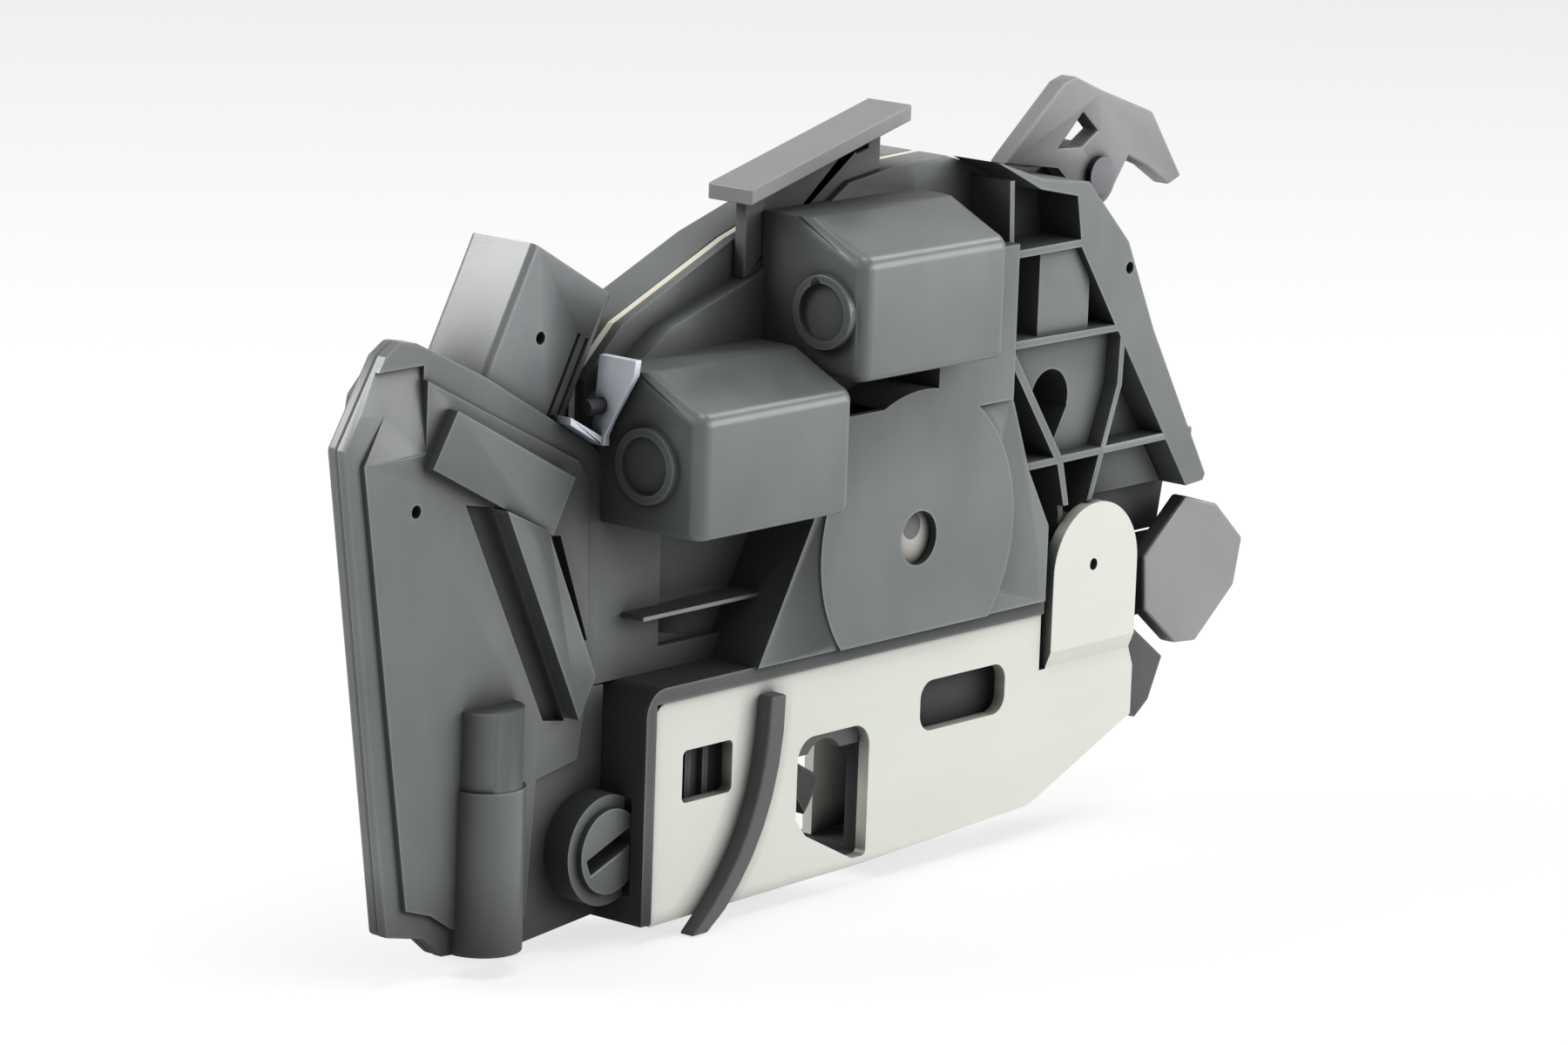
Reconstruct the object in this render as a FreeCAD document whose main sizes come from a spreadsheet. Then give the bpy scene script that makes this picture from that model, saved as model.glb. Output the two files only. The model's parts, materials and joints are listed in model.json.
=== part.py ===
import FreeCAD, Part
import math
import os
import Sketcher

# Car door lock, in millimetres.
# X runs right along the latch plate, Y runs back into the door, Z runs up.
# The origin is the lower left corner of the latch plate on its front face.

doc = FreeCAD.newDocument("door_lock")
sheet = doc.addObject("Spreadsheet::Sheet", "Sizes")


class Size:
    """A length or angle with the expression that binds a feature to the sheet."""

    def __init__(self, value, text):
        self.value = value
        self.text = text

    def __add__(self, other):
        other = as_size(other)
        return Size(self.value + other.value, f"({self.text} + {other.text})")

    __radd__ = __add__

    def __sub__(self, other):
        other = as_size(other)
        return Size(self.value - other.value, f"({self.text} - {other.text})")

    def __mul__(self, other):
        other = as_size(other)
        return Size(self.value * other.value, f"({self.text} * {other.text})")

    def __truediv__(self, other):
        other = as_size(other)
        return Size(self.value / other.value, f"({self.text} / {other.text})")

    def __neg__(self):
        return Size(-self.value, f"(0 - {self.text})")


def as_size(number):
    if isinstance(number, Size):
        return number
    return Size(float(number), f"({float(number):.6f})")


rows = []


def size(name, value, note):
    """Writes one driving dimension into the sheet and returns it."""
    row = len(rows) + 1
    rows.append(name)
    sheet.set(f"A{row}", name)
    sheet.set(f"B{row}", str(value))
    sheet.set(f"C{row}", note)
    sheet.setAlias(f"B{row}", name)
    return Size(float(value), f"Sizes.{name}")


def bind(thing, prop, quantity):
    thing.setExpression(prop, as_size(quantity).text)


# Driving dimensions

clearance = size("clearance", 0.3, "gap between a piece and its free neighbour")
running = size("running_gap", 0.05, "radial gap of a running fit")
wall = size("wall", 2.2, "thickness of the plastic walls")
overlap = size("overlap", 1.0, "how far a form of one piece runs into the next one")

sheet_t = size("sheet_t", 2.5, "thickness of the latch plate")
plate_top = size("plate_top", 41.9, "height of the latch plate")
plate_right = size("plate_right", 144.0, "right edge of the latch plate")
plate_shoulder = size("plate_shoulder", 112.0, "where the lower edge turns up")
plate_shoulder_up = size("plate_shoulder_up", 3.6, "height of the lower edge there")
plate_right_up = size("plate_right_up", 17.0, "height of the lower edge at the right")
tab_left = size("tab_left", 115.6, "left edge of the plate's tab")
tab_width = size("tab_width", 26.8, "width of the tab")
tab_top = size("tab_top", 62.4, "top of the tab")
tab_bend = size("tab_bend", 31.0, "height where the tab bends forward")
tab_step = size("tab_step", 1.2, "how far the tab stands forward")
slit = size("slit", 1.9, "width of the relief slit beside the tab")
slot_left = size("slot_left", 41.0, "left side of the striker slot")
slot_width = size("slot_width", 21.0, "width of the striker slot")
slot_top = size("slot_top", 28.6, "top of the striker slot")
slot_foot = size("slot_foot", 2.6, "bottom of the striker slot")
slot_round = size("slot_round", 4.5, "corner radius at the top of the slot")
window_a_left = size("window_a_left", 8.0, "left side of the small window")
window_a_foot = size("window_a_foot", 22.0, "bottom of the small window")
window_a_width = size("window_a_width", 14.0, "width of the small window")
window_a_height = size("window_a_height", 10.0, "height of the small window")
window_b_left = size("window_b_left", 77.0, "left side of the long window")
window_b_foot = size("window_b_foot", 24.0, "bottom of the long window")
window_b_width = size("window_b_width", 26.0, "width of the long window")
window_b_height = size("window_b_height", 10.0, "height of the long window")

strip_half = size("strip_half", 1.7, "half width of the rubber strip on the plate")
strip_proud = size("strip_proud", 3.2, "how far the rubber strip stands before the plate")
strip_seat = size("strip_seat", 0.4, "depth of the rubber strip's seat in the plate")

carrier_top = size("carrier_top", 45.0, "top of the latch carrier")
carrier_back = size("carrier_back", 18.0, "rear face of the latch carrier")
rim_width = size("rim_width", 3.0, "width of the plastic rim round the plate")
rim_proud = size("rim_proud", 0.6, "how far the rim stands before the plate")
front_skin = size("front_skin", 3.0, "front wall of the latch carrier")
window_recess = size("window_recess", 1.8, "depth of the panels behind the windows")
chamber_left = size("chamber_left", 5.0, "left wall of the latch chamber")
chamber_right = size("chamber_right", 108.0, "right wall of the latch chamber")
chamber_foot = size("chamber_foot", 3.1, "floor of the latch chamber")
chamber_top = size("chamber_top", 43.2, "ceiling of the latch chamber")

claw_x = size("claw_x", 35.0, "claw pin, across")
claw_z = size("claw_z", 25.0, "claw pin, up")
claw_front = size("claw_front", 6.9, "front face of the claw")
claw_t = size("claw_t", 3.6, "thickness of the claw")
claw_reach = size("claw_reach", 21.5, "radius of the claw's legs")
claw_hub = size("claw_hub", 12.0, "radius of the claw's body")
claw_tooth = size("claw_tooth", 14.0, "radius of the claw's catch tooth")
claw_skin = size("claw_skin", 0.7, "thickness of the plastic on the claw's faces")
throat_half = size("throat_half", 5.0, "half width of the claw's throat")
throat_floor = size("throat_floor", 11.5, "distance of the throat's floor from the pin")
claw_pin_r = size("claw_pin_r", 4.0, "radius of the claw pin")
pin_head = size("pin_head", 1.4, "thickness of the rivet heads")
head_lap = size("head_lap", 2.2, "how far a rivet head laps its hole")
back_sheet_front = size("back_sheet_front", 13.6, "front face of the rear sheet")
back_sheet_t = size("back_sheet_t", 2.2, "thickness of the rear sheet")
pawl_x = size("pawl_x", 60.0, "pawl pin, across")
pawl_z = size("pawl_z", 37.2, "pawl pin, up")
pawl_pin_r = size("pawl_pin_r", 2.5, "radius of the pawl pin")
pawl_boss = size("pawl_boss", 5.0, "radius of the pawl round its pin")
pawl_arm = size("pawl_arm", 3.4, "height of the pawl's arm")
nose_x = size("nose_x", 31.9, "tip of the pawl, across")

motor_length = size("motor_length", 30.5, "length of a motor can")
motor_r = size("motor_r", 12.1, "radius of a motor can")
motor_flat = size("motor_flat", 9.15, "half height between a motor's flats")
motor_y = size("motor_y", 2.0, "depth of the motor shafts")
motor_nose = size("motor_nose", 1.6, "length of a motor's bearing nose")
shaft_r = size("shaft_r", 1.0, "radius of a motor shaft")
worm_r = size("worm_r", 2.8, "outer radius of a worm")
bulge_front = size("bulge_front", -14.0, "front face of the motor covers")
bulge_width = size("bulge_width", 43.0, "length of a motor cover")
bulge_height = size("bulge_height", 22.6, "height of a motor cover's front")
bulge_rise = size("bulge_rise", 6.5, "how much a motor cover's top rises backward")
bulge_slope = size("bulge_slope", 13.0, "depth of the slope on a motor cover's top")
bulge_corner = size("bulge_corner", 3.0, "corner radius of the motor covers")
ring_r = size("ring_r", 7.0, "radius of the rings on the motor covers' left ends")
ring_proud = size("ring_proud", 1.5, "how far these rings stand out")
low_left = size("low_left", -5.6, "left end of the lower motor cover")
low_foot = size("low_foot", 75.1, "bottom of the lower motor cover")
high_left = size("high_left", 38.6, "left end of the upper motor cover")
high_foot = size("high_foot", 98.9, "bottom of the upper motor cover")

cover_left = size("cover_left", -6.0, "left wall of the main housing")
floor_front = size("floor_front", 10.0, "front of the recessed floor of the cover")
cover_back = size("cover_back", 16.6, "rear edge of the front cover")
seal_t = size("seal_t", 1.4, "thickness of the housing seal")
rear_depth = size("rear_depth", 10.0, "depth of the rear cover")
rib_t = size("rib_t", 1.5, "thickness of the lattice ribs")
gear_x = size("gear_x", 71.5, "lock gear, across")
gear_z = size("gear_z", 65.5, "lock gear, up")
dome_z = size("dome_z", 63.5, "gear dome, up")
dome_r = size("dome_r", 28.8, "radius of the gear dome")
dome_front = size("dome_front", -2.5, "front face of the gear dome")
dome_skin = size("dome_skin", 1.5, "thickness of the gear dome's front")
deck_front = size("deck_front", -1.8, "front of the flat deck round the gear dome")
high_deck = size("high_deck", 1.2, "front of the lattice's upper panel")
middle_deck = size("middle_deck", 3.0, "front of the lattice's middle panel")
low_deck = size("low_deck", 5.5, "front of the lattice's right panels")
drop_x = size("drop_x", 117.0, "round end of the drop shaped hole, across")
drop_z = size("drop_z", 84.0, "round end of the drop shaped hole, up")
drop_r = size("drop_r", 5.8, "radius of the drop shaped hole's round end")
dome_hole_r = size("dome_hole_r", 5.25, "radius of the hole in the dome")
gear_front = size("gear_front", -0.6, "front face of the gears")
gear_t = size("gear_t", 5.0, "thickness of the gears")
gear_pin_r = size("gear_pin_r", 2.5, "radius of the gear pins")
pin_socket = size("pin_socket", 7.0, "depth of the sockets for the gear pins")
gear_hub = size("gear_hub", 2.0, "length of the gears' hubs")
sector_x = size("sector_x", 87.6, "deadlock gear, across")
sector_tip = size("sector_tip", 9.0, "tip radius of the deadlock gear")
tooth_h = size("tooth_h", 1.8, "height of the gear teeth")
lever_plate = size("lever_plate", 2.0, "thickness of the locking lever")

wing_front = size("wing_front", 10.0, "front face of the side cover's flange")
wing_lid = size("wing_lid", 2.0, "thickness of the side cover's flange")
wing_raise = size("wing_raise", 1.0, "how far the side cover's panel stands forward")
case_lip = size("case_lip", 2.5, "depth of the side case's rim")
pad_front = size("pad_front", 6.4, "front face of the side cover's slanting pad")
brace_front = size("brace_front", 5.6, "front face of the side cover's brace")
pillar_x = size("pillar_x", -35.2, "pillar of the side cover, across")
pillar_r = size("pillar_r", 7.5, "radius of the side cover's pillar")
pillar_foot = size("pillar_foot", 1.0, "foot of the side cover's pillar")
wing_back = size("wing_back", 26.0, "rear face of the side case")
tower_lean = size("tower_lean", 29.0, "angle between the connector and upright")
tower_x = size("tower_x", -35.3, "left foot of the connector, across")
tower_z = size("tower_z", 105.0, "left foot of the connector, up")
tower_w = size("tower_w", 24.4, "width of the connector")
tower_h = size("tower_h", 26.4, "height of the connector")
socket_floor = size("socket_floor", 8.0, "height of the socket's floor over the foot")
tower_d = size("tower_d", 16.0, "depth of the connector")
tower_front = size("tower_front", 12.2, "front face of the connector")
tower_wall = size("tower_wall", 1.6, "wall of the connector's socket")
rotor_x = size("rotor_x", -8.0, "key rotor, across")
rotor_z = size("rotor_z", 15.3, "key rotor, up")
rotor_r = size("rotor_r", 8.0, "radius of the key rotor")
spindle_r = size("spindle_r", 1.6, "radius of the key rotor's spindle")
rotor_front = size("rotor_front", 2.8, "front face of the key rotor")
knob_out = size("knob_out", 20.5, "distance of the backup knob from the plate's right edge")
knob_z = size("knob_z", 43.5, "backup knob, up")
knob_front = size("knob_front", 1.5, "front face of the backup knob")
knob_shaft_r = size("knob_shaft_r", 2.5, "radius of the backup knob's shaft")
knob_t = size("knob_t", 3.8, "thickness of the backup knob")
lever_front = size("lever_front", 12.0, "front face of the release lever")
lever_t = size("lever_t", 4.0, "thickness of the release lever")
lever_pin_r = size("lever_pin_r", 2.0, "radius of the release lever's pin")
lever_boss_r = size("lever_boss_r", 6.2, "radius of the release lever round its pin")
lever_x = size("lever_x", 141.0, "pivot of the release lever, across")
lever_z = size("lever_z", 124.5, "pivot of the release lever, up")

claw_turn = size("claw_turn", 54.7, "how far the open claw's throat points below level")
coil_wire = size("coil_wire", 0.9, "wire of the springs")
coil_leg = size("coil_leg", 9.0, "length of a spring's straight leg")
screw_r = size("screw_r", 1.3, "radius of the cover screws")
screw_head_r = size("screw_head_r", 3.2, "radius of the screws' heads")
screw_head = size("screw_head", 1.8, "height of the screws' heads")
screw_tip = size("screw_tip", 17.0, "how far forward the screws reach")
post_wall = size("post_wall", 2.0, "wall of the posts round screws and pins")

doc.recompute()

knob_x = plate_right + knob_out
slot_right = slot_left + slot_width
tab_right = tab_left + tab_width
cover_foot = carrier_top
low_right = low_left + bulge_width
high_right = high_left + bulge_width
low_axis = low_foot + bulge_height / 2
high_axis = high_foot + bulge_height / 2
motor_in = wall + clearance
wheel_tip = low_axis - gear_z - worm_r - clearance
sector_z = high_axis - worm_r - clearance - sector_tip
tower_slope = Size(
    math.tan(math.radians(tower_lean.value)), f"tan({tower_lean.text} * 1 deg)")
screw_spots = [(2.0, 54.0), (31.0, 104.5), (90.0, 124.0), (150.0, 70.5), (108.5, 52.0)]


# Modelling steps shared by the pieces

PLANES = {"front": "XZ_Plane", "side": "YZ_Plane", "top": "XY_Plane"}
NEAR = 0.05


class Piece:
    """One PartDesign body; a front sketch grows back, a side sketch right, a top sketch up."""

    def __init__(self, name):
        self.body = doc.addObject("PartDesign::Body", name)
        self.body.Label = name

    def sketch(self, plane, at):
        base = [f for f in self.body.Origin.OriginFeatures if f.Role == PLANES[plane]][0]
        made = self.body.newObject("Sketcher::SketchObject", "profile")
        made.AttachmentSupport = [(base, "")]
        made.MapMode = "FlatFace"
        bind(made, "AttachmentOffset.Base.z", -as_size(at) if plane == "front" else at)
        return made

    def outline(self, plane, at, loops):
        made = self.sketch(plane, at)
        for points in loops:
            corners = [(as_size(u), as_size(v)) for u, v in points]
            count = len(corners)
            first = made.GeometryCount
            for i in range(count):
                start = corners[i]
                end = corners[(i + 1) % count]
                line = Part.LineSegment(
                    FreeCAD.Vector(start[0].value, start[1].value, 0),
                    FreeCAD.Vector(end[0].value, end[1].value, 0))
                made.addGeometry(line, False)
            for i in range(count):
                made.addConstraint(Sketcher.Constraint(
                    "Coincident", first + i, 2, first + (i + 1) % count, 1))
            for i, corner in enumerate(corners):
                for kind, quantity in zip(("DistanceX", "DistanceY"), corner):
                    number = made.addConstraint(
                        Sketcher.Constraint(kind, -1, 1, first + i, 1, quantity.value))
                    made.setExpression(f"Constraints[{number}]", quantity.text)
        return made

    def circles(self, plane, at, rounds):
        made = self.sketch(plane, at)
        for i, values in enumerate(rounds):
            u, v, radius = [as_size(value) for value in values]
            circle = Part.Circle(
                FreeCAD.Vector(u.value, v.value, 0), FreeCAD.Vector(0, 0, 1), radius.value)
            made.addGeometry(circle, False)
            settings = (("DistanceX", u), ("DistanceY", v))
            for kind, quantity in settings:
                number = made.addConstraint(
                    Sketcher.Constraint(kind, -1, 1, i, 3, quantity.value))
                made.setExpression(f"Constraints[{number}]", quantity.text)
            number = made.addConstraint(Sketcher.Constraint("Radius", i, radius.value))
            made.setExpression(f"Constraints[{number}]", radius.text)
        return made

    def disc(self, plane, at, round_values, foot):
        """A circle cut off by a level line."""
        made = self.sketch(plane, at)
        u, v, radius = [as_size(value) for value in round_values]
        foot = as_size(foot)
        turn = math.asin((v.value - foot.value) / radius.value)
        middle = FreeCAD.Vector(u.value, v.value, 0)
        half = FreeCAD.Vector(radius.value * math.cos(turn), 0, 0)
        level = FreeCAD.Vector(u.value, foot.value, 0)
        circle = Part.Circle(middle, FreeCAD.Vector(0, 0, 1), radius.value)
        made.addGeometry(Part.ArcOfCircle(circle, -turn, math.pi + turn), False)
        made.addGeometry(Part.LineSegment(level - half, level + half), False)
        made.addConstraint(Sketcher.Constraint("Coincident", 0, 2, 1, 1))
        made.addConstraint(Sketcher.Constraint("Coincident", 1, 2, 0, 1))
        made.addConstraint(Sketcher.Constraint("Horizontal", 1))
        settings = (
            (Sketcher.Constraint("DistanceX", -1, 1, 0, 3, u.value), u),
            (Sketcher.Constraint("DistanceY", -1, 1, 0, 3, v.value), v),
            (Sketcher.Constraint("DistanceY", -1, 1, 1, 1, foot.value), foot),
            (Sketcher.Constraint("Radius", 0, radius.value), radius))
        for constraint, quantity in settings:
            number = made.addConstraint(constraint)
            made.setExpression(f"Constraints[{number}]", quantity.text)
        return made

    def feature(self, kind, profile, length, plane):
        made = self.body.newObject(f"PartDesign::{kind}", kind.lower())
        made.Profile = profile
        bind(made, "Length", length)
        made.Reversed = (plane == "front") == (kind == "Pad")
        doc.recompute()
        return made

    def add(self, plane, at, length, *loops):
        return self.feature("Pad", self.outline(plane, at, loops), length, plane)

    def cut(self, plane, at, length, *loops):
        return self.feature("Pocket", self.outline(plane, at, loops), length, plane)

    def add_round(self, plane, at, length, *rounds):
        return self.feature("Pad", self.circles(plane, at, rounds), length, plane)

    def cut_round(self, plane, at, length, *rounds):
        return self.feature("Pocket", self.circles(plane, at, rounds), length, plane)

    def add_disc(self, plane, at, length, round_values, foot):
        return self.feature("Pad", self.disc(plane, at, round_values, foot), length, plane)

    def cut_disc(self, plane, at, length, round_values, foot):
        return self.feature("Pocket", self.disc(plane, at, round_values, foot), length, plane)

    def edges(self, along, spots):
        """Names the straight edges along one axis that pass through the given spots."""
        names = []
        others = [k for k in range(3) if k != along]
        spots = [[as_size(value).value for value in spot] for spot in spots]
        for number, edge in enumerate(self.body.Shape.Edges):
            ends = [tuple(vertex.Point) for vertex in edge.Vertexes]
            if len(ends) != 2:
                continue
            if any(abs(ends[0][k] - ends[1][k]) > NEAR for k in others):
                continue
            for spot in spots:
                if all(abs(ends[0][k] - spot[i]) < NEAR for i, k in enumerate(others)):
                    names.append(f"Edge{number + 1}")
        return names

    def round_edges(self, along, spots, radius):
        made = self.body.newObject("PartDesign::Fillet", "fillet")
        base = self.body.Group[-2]
        names = self.edges(along, spots)
        made.Base = (base, names)
        bind(made, "Radius", radius)
        doc.recompute()

    def shell(self, depths, thickness):
        """Hollows the body and opens its flat front or rear faces at the given depths."""
        values = [as_size(depth).value for depth in depths]
        names = []
        for number, face in enumerate(self.body.Shape.Faces):
            box = face.BoundBox
            if box.YLength < NEAR and any(abs(box.YMin - value) < NEAR for value in values):
                names.append(f"Face{number + 1}")
        made = self.body.newObject("PartDesign::Thickness", "thickness")
        made.Base = (self.body.Group[-2], names)
        bind(made, "Value", thickness)
        made.Reversed = True
        made.Join = 1
        doc.recompute()


def rectangle(x, z):
    return [(x[0], z[0]), (x[1], z[0]), (x[1], z[1]), (x[0], z[1])]


def flat_rib(start, end, thickness):
    """A rib that runs mostly across, as four corners."""
    half = thickness / 2
    return [
        (start[0], start[1] - half), (end[0], end[1] - half),
        (end[0], end[1] + half), (start[0], start[1] + half)]


def at(x, z):
    return as_size(x), as_size(z)


# Latch plate and carrier

SLOT = [
    (slot_left, slot_top), (slot_right, slot_top), (slot_right, slot_foot),
    (slot_right - 4.0, slot_foot), (slot_left + 3.0, slot_foot + 6.9),
    (slot_left, slot_foot + 10.4)]


def strip_band(half):
    """The outline of a band that curves down across the plate beside the small window."""
    top = (31.2, 38.9)
    pull = (31.0, 12.0)
    foot = (11.0, -2.9)
    steps = 8
    middle = []
    for i in range(steps + 1):
        t = i / steps
        middle.append([
            top[k] * (1 - t) ** 2 + 2 * pull[k] * t * (1 - t) + foot[k] * t ** 2
            for k in range(2)])
    right = [(as_size(x) + half, z) for x, z in middle]
    left = [(as_size(x) - half, z) for x, z in reversed(middle)]
    return right + left


def latch_plate():
    piece = Piece("latch_plate")
    slit_foot = tab_bend - 0.4
    piece.add("front", 0, sheet_t, [
        (0, 0), (slot_right, 1.2), (plate_shoulder, plate_shoulder_up),
        (plate_right, plate_right_up), (plate_right, tab_bend - 4.0), (tab_right, tab_bend),
        (tab_left, tab_bend), (tab_left, slit_foot), (tab_left - slit, slit_foot),
        (tab_left - slit, plate_top), (0, plate_top)])
    ramp_top = tab_bend + 3.0
    piece.add("side", tab_left, tab_width, [
        (0, tab_bend), (-tab_step, ramp_top), (-tab_step, tab_top),
        (sheet_t - tab_step, tab_top), (sheet_t - tab_step, ramp_top), (sheet_t, tab_bend)])
    piece.round_edges(1, [at(tab_left, tab_top), at(tab_right, tab_top)], tab_width / 2 - 0.1)
    piece.round_edges(1, [at(0, plate_top)], 3.0)
    window_a = ((window_a_left, window_a_left + window_a_width),
                (window_a_foot, window_a_foot + window_a_height))
    window_b = ((window_b_left, window_b_left + window_b_width),
                (window_b_foot, window_b_foot + window_b_height))
    piece.cut("front", 0, sheet_t, rectangle(*window_a))
    piece.round_edges(1, rectangle(*window_a), 1.2)
    piece.cut("front", 0, sheet_t, rectangle(*window_b))
    piece.round_edges(1, rectangle(*window_b), 3.5)
    piece.cut("front", 0, sheet_t, SLOT)
    piece.round_edges(1, SLOT[:2], slot_round)
    piece.round_edges(1, SLOT[2:3], 1.2)
    piece.cut_round("front", -tab_step, tab_step, (tab_left + 12.6, tab_top - 12.4, 1.2))
    piece.cut("front", 0, strip_seat, strip_band(strip_half + clearance))
    return piece


def latch_carrier():
    piece = Piece("latch_carrier")
    left = -rim_width
    depth = carrier_back - sheet_t
    stub_right = plate_right + 2.5
    piece.add("front", sheet_t, depth, [
        (left, 0.6), (slot_right, 1.8), (plate_shoulder, plate_shoulder_up + 0.6),
        (plate_right, plate_right_up - 0.4), (plate_right + 4.8, 15.0),
        (plate_right + 9.0, 18.0), (plate_right + 13.0, 26.3), (stub_right, 34.0),
        (stub_right, carrier_top), (left, carrier_top)])
    rim_depth = sheet_t + rim_proud
    gap = clearance / 2
    piece.add("front", -rim_proud, rim_depth, rectangle((left, -gap), (0.6, carrier_top)))
    piece.add("front", -rim_proud, rim_depth,
              rectangle((left, tab_left - slit), (plate_top + gap, carrier_top)))
    piece.round_edges(1, [at(left, carrier_top)], 5.0)
    inside = sheet_t + front_skin
    piece.cut("front", inside, carrier_back - inside, [
        (chamber_left, chamber_foot), (slot_right + 2.0, chamber_foot + 0.6),
        (chamber_right, chamber_foot + 3.6), (chamber_right, chamber_top),
        (chamber_left, chamber_top)])
    piece.cut("front", sheet_t, front_skin, SLOT)
    piece.cut("front", inside, carrier_back - inside,
              rectangle((slot_left, slot_right), (-1.0, chamber_foot + 1.0)))
    for x, z, w, h in (
            (window_a_left, window_a_foot, window_a_width, window_a_height),
            (window_b_left, window_b_foot, window_b_width, window_b_height)):
        piece.cut("front", sheet_t, window_recess, rectangle(
            (x - 0.5, x + w + 0.5), (z - 0.5, z + h + 0.5)))
    for k in range(2):
        x = window_a_left + window_a_width * (0.3 + 0.35 * k)
        piece.add("front", sheet_t + 0.6, window_recess - 0.6, rectangle(
            (x, x + 1.6), (window_a_foot - 0.5, window_a_foot + window_a_height + 0.5)))
    piece.cut_round("front", sheet_t, depth, (rotor_x, rotor_z, rotor_r + 2.7))
    piece.add("front", knob_front + knob_t + clearance, 6.4, [
        (stub_right - 1.0, 34.0), (knob_x, knob_z - 6.5), (knob_x + 6.0, knob_z),
        (knob_x, knob_z + 6.5), (stub_right + 11.0, knob_z + 6.5), (stub_right - 1.0, 44.0)])
    piece.cut_round("front", knob_front, 14.0, (knob_x, knob_z, knob_shaft_r + running))
    piece.cut_round("front", sheet_t, front_skin, (claw_x, claw_z, claw_pin_r + running))
    piece.cut_round("front", sheet_t, front_skin, (pawl_x, pawl_z, pawl_pin_r + running))
    return piece


def back_sheet():
    piece = Piece("back_sheet")
    piece.add("front", back_sheet_front, back_sheet_t, [
        (chamber_left + clearance, chamber_foot + clearance),
        (slot_right + 2.0, chamber_foot + 0.6 + clearance),
        (chamber_right - clearance, chamber_foot + 3.6 + clearance),
        (chamber_right - clearance, chamber_top - clearance),
        (chamber_left + clearance, chamber_top - clearance)])
    piece.cut("front", back_sheet_front, back_sheet_t, rectangle(
        (slot_left, slot_right), (0, slot_top)))
    piece.round_edges(1, [at(slot_left, slot_top), at(slot_right, slot_top)], slot_round)
    piece.cut_round("front", back_sheet_front, back_sheet_t,
                    (claw_x, claw_z, claw_pin_r + running))
    piece.cut_round("front", back_sheet_front, back_sheet_t,
                    (pawl_x, pawl_z, pawl_pin_r + running))
    return piece


def rivet_pin(name, x, z, radius):
    piece = Piece(name)
    rear = back_sheet_front + back_sheet_t
    piece.add_round("front", sheet_t, rear - sheet_t, (x, z, radius))
    piece.add_round("front", rear, pin_head, (x, z, radius + head_lap))
    return piece


def slot_bumper():
    piece = Piece("slot_bumper")
    piece.add("front", sheet_t, front_skin, rectangle(
        (slot_left + clearance, slot_right - clearance), (slot_top - 4.2, slot_top)))
    piece.cut_round("front", sheet_t, front_skin,
                    (slot_left + slot_width / 2, slot_top - 7.6, 5.8))
    return piece


def edge_strip():
    """A rubber strip that curves down over the plate beside the small window."""
    piece = Piece("edge_strip")
    piece.add("front", -strip_proud, strip_proud + strip_seat, strip_band(strip_half))
    return piece


# Claw and pawl

def ring_points(radius, start, end, steps):
    """Points of an arc about the piece's own origin, in degrees from its first axis."""
    points = []
    for i in range(steps + 1):
        turn = FreeCAD.Rotation(FreeCAD.Vector(0, 0, 1), start + (end - start) * i / steps)
        spot = turn.multVec(FreeCAD.Vector(1, 0, 0))
        points.append((as_size(radius) * spot.x, as_size(radius) * spot.y))
    return points


def seat_claw(piece):
    piece.body.Placement = FreeCAD.Placement(
        FreeCAD.Vector(claw_x.value, 0, claw_z.value),
        FreeCAD.Rotation(FreeCAD.Vector(0, 1, 0), claw_turn.value))
    bind(piece.body, "Placement.Base.x", claw_x)
    bind(piece.body, "Placement.Base.z", claw_z)
    piece.body.setExpression("Placement.Rotation.Angle", f"{claw_turn.text} * 1 deg")
    doc.recompute()


def claw_outline(reach, hub, half, floor):
    lower = ring_points(reach, -33.0, -14.5, 4)
    upper = ring_points(reach, 14.5, 36.0, 4)
    body = ring_points(hub, 44.0, 124.0, 10)
    tail = ring_points(hub, 147.0, 315.0, 20)
    return lower, upper, body, tail, [(floor, -half), (floor, half)]


def claw():
    piece = Piece("claw")
    skin = 0.8
    lower, upper, body, tail, throat = claw_outline(
        claw_reach, claw_hub, throat_half + skin, throat_floor - skin)
    tooth = ring_points(claw_tooth, 127.0, 144.0, 3)
    piece.add("front", claw_front, claw_t, lower + throat + upper + body + tooth + tail)
    piece.cut_round("front", claw_front, claw_t, (0, 0, claw_pin_r + running))
    seat_claw(piece)
    return piece


def claw_jacket(core):
    piece = Piece("claw_cover")
    inset = 0.7
    lower, upper, body, tail, throat = claw_outline(
        claw_reach - inset, claw_hub - inset, throat_half, throat_floor)
    piece.add("front", claw_front - claw_skin, claw_t + claw_skin * 2,
              lower + throat + upper + body + tail)
    piece.cut_round("front", claw_front - claw_skin, claw_t + claw_skin * 2, (0, 0, 8.2))
    seat_claw(piece)
    made = doc.addObject("Part::Cut", "claw_jacket")
    made.Base = piece.body
    made.Tool = core.body
    made.Label = "claw_jacket"
    return made


def pawl():
    piece = Piece("pawl")
    arm_top = chamber_top - 0.6
    arm_foot = arm_top - pawl_arm
    thin_foot = arm_top - 1.8
    piece.add("front", claw_front, claw_t, [
        (nose_x, arm_foot), (nose_x + 2.5, arm_foot), (nose_x + 3.1, thin_foot),
        (pawl_x - 16.0, thin_foot), (pawl_x - 12.0, arm_foot), (pawl_x, pawl_z - 3.0),
        (pawl_x + 4.0, pawl_z), (pawl_x, arm_top), (nose_x, arm_top)])
    piece.add_round("front", claw_front, claw_t, (pawl_x, pawl_z, pawl_boss))
    piece.cut_round("front", claw_front, claw_t, (pawl_x, pawl_z, pawl_pin_r + running))
    return piece


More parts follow.
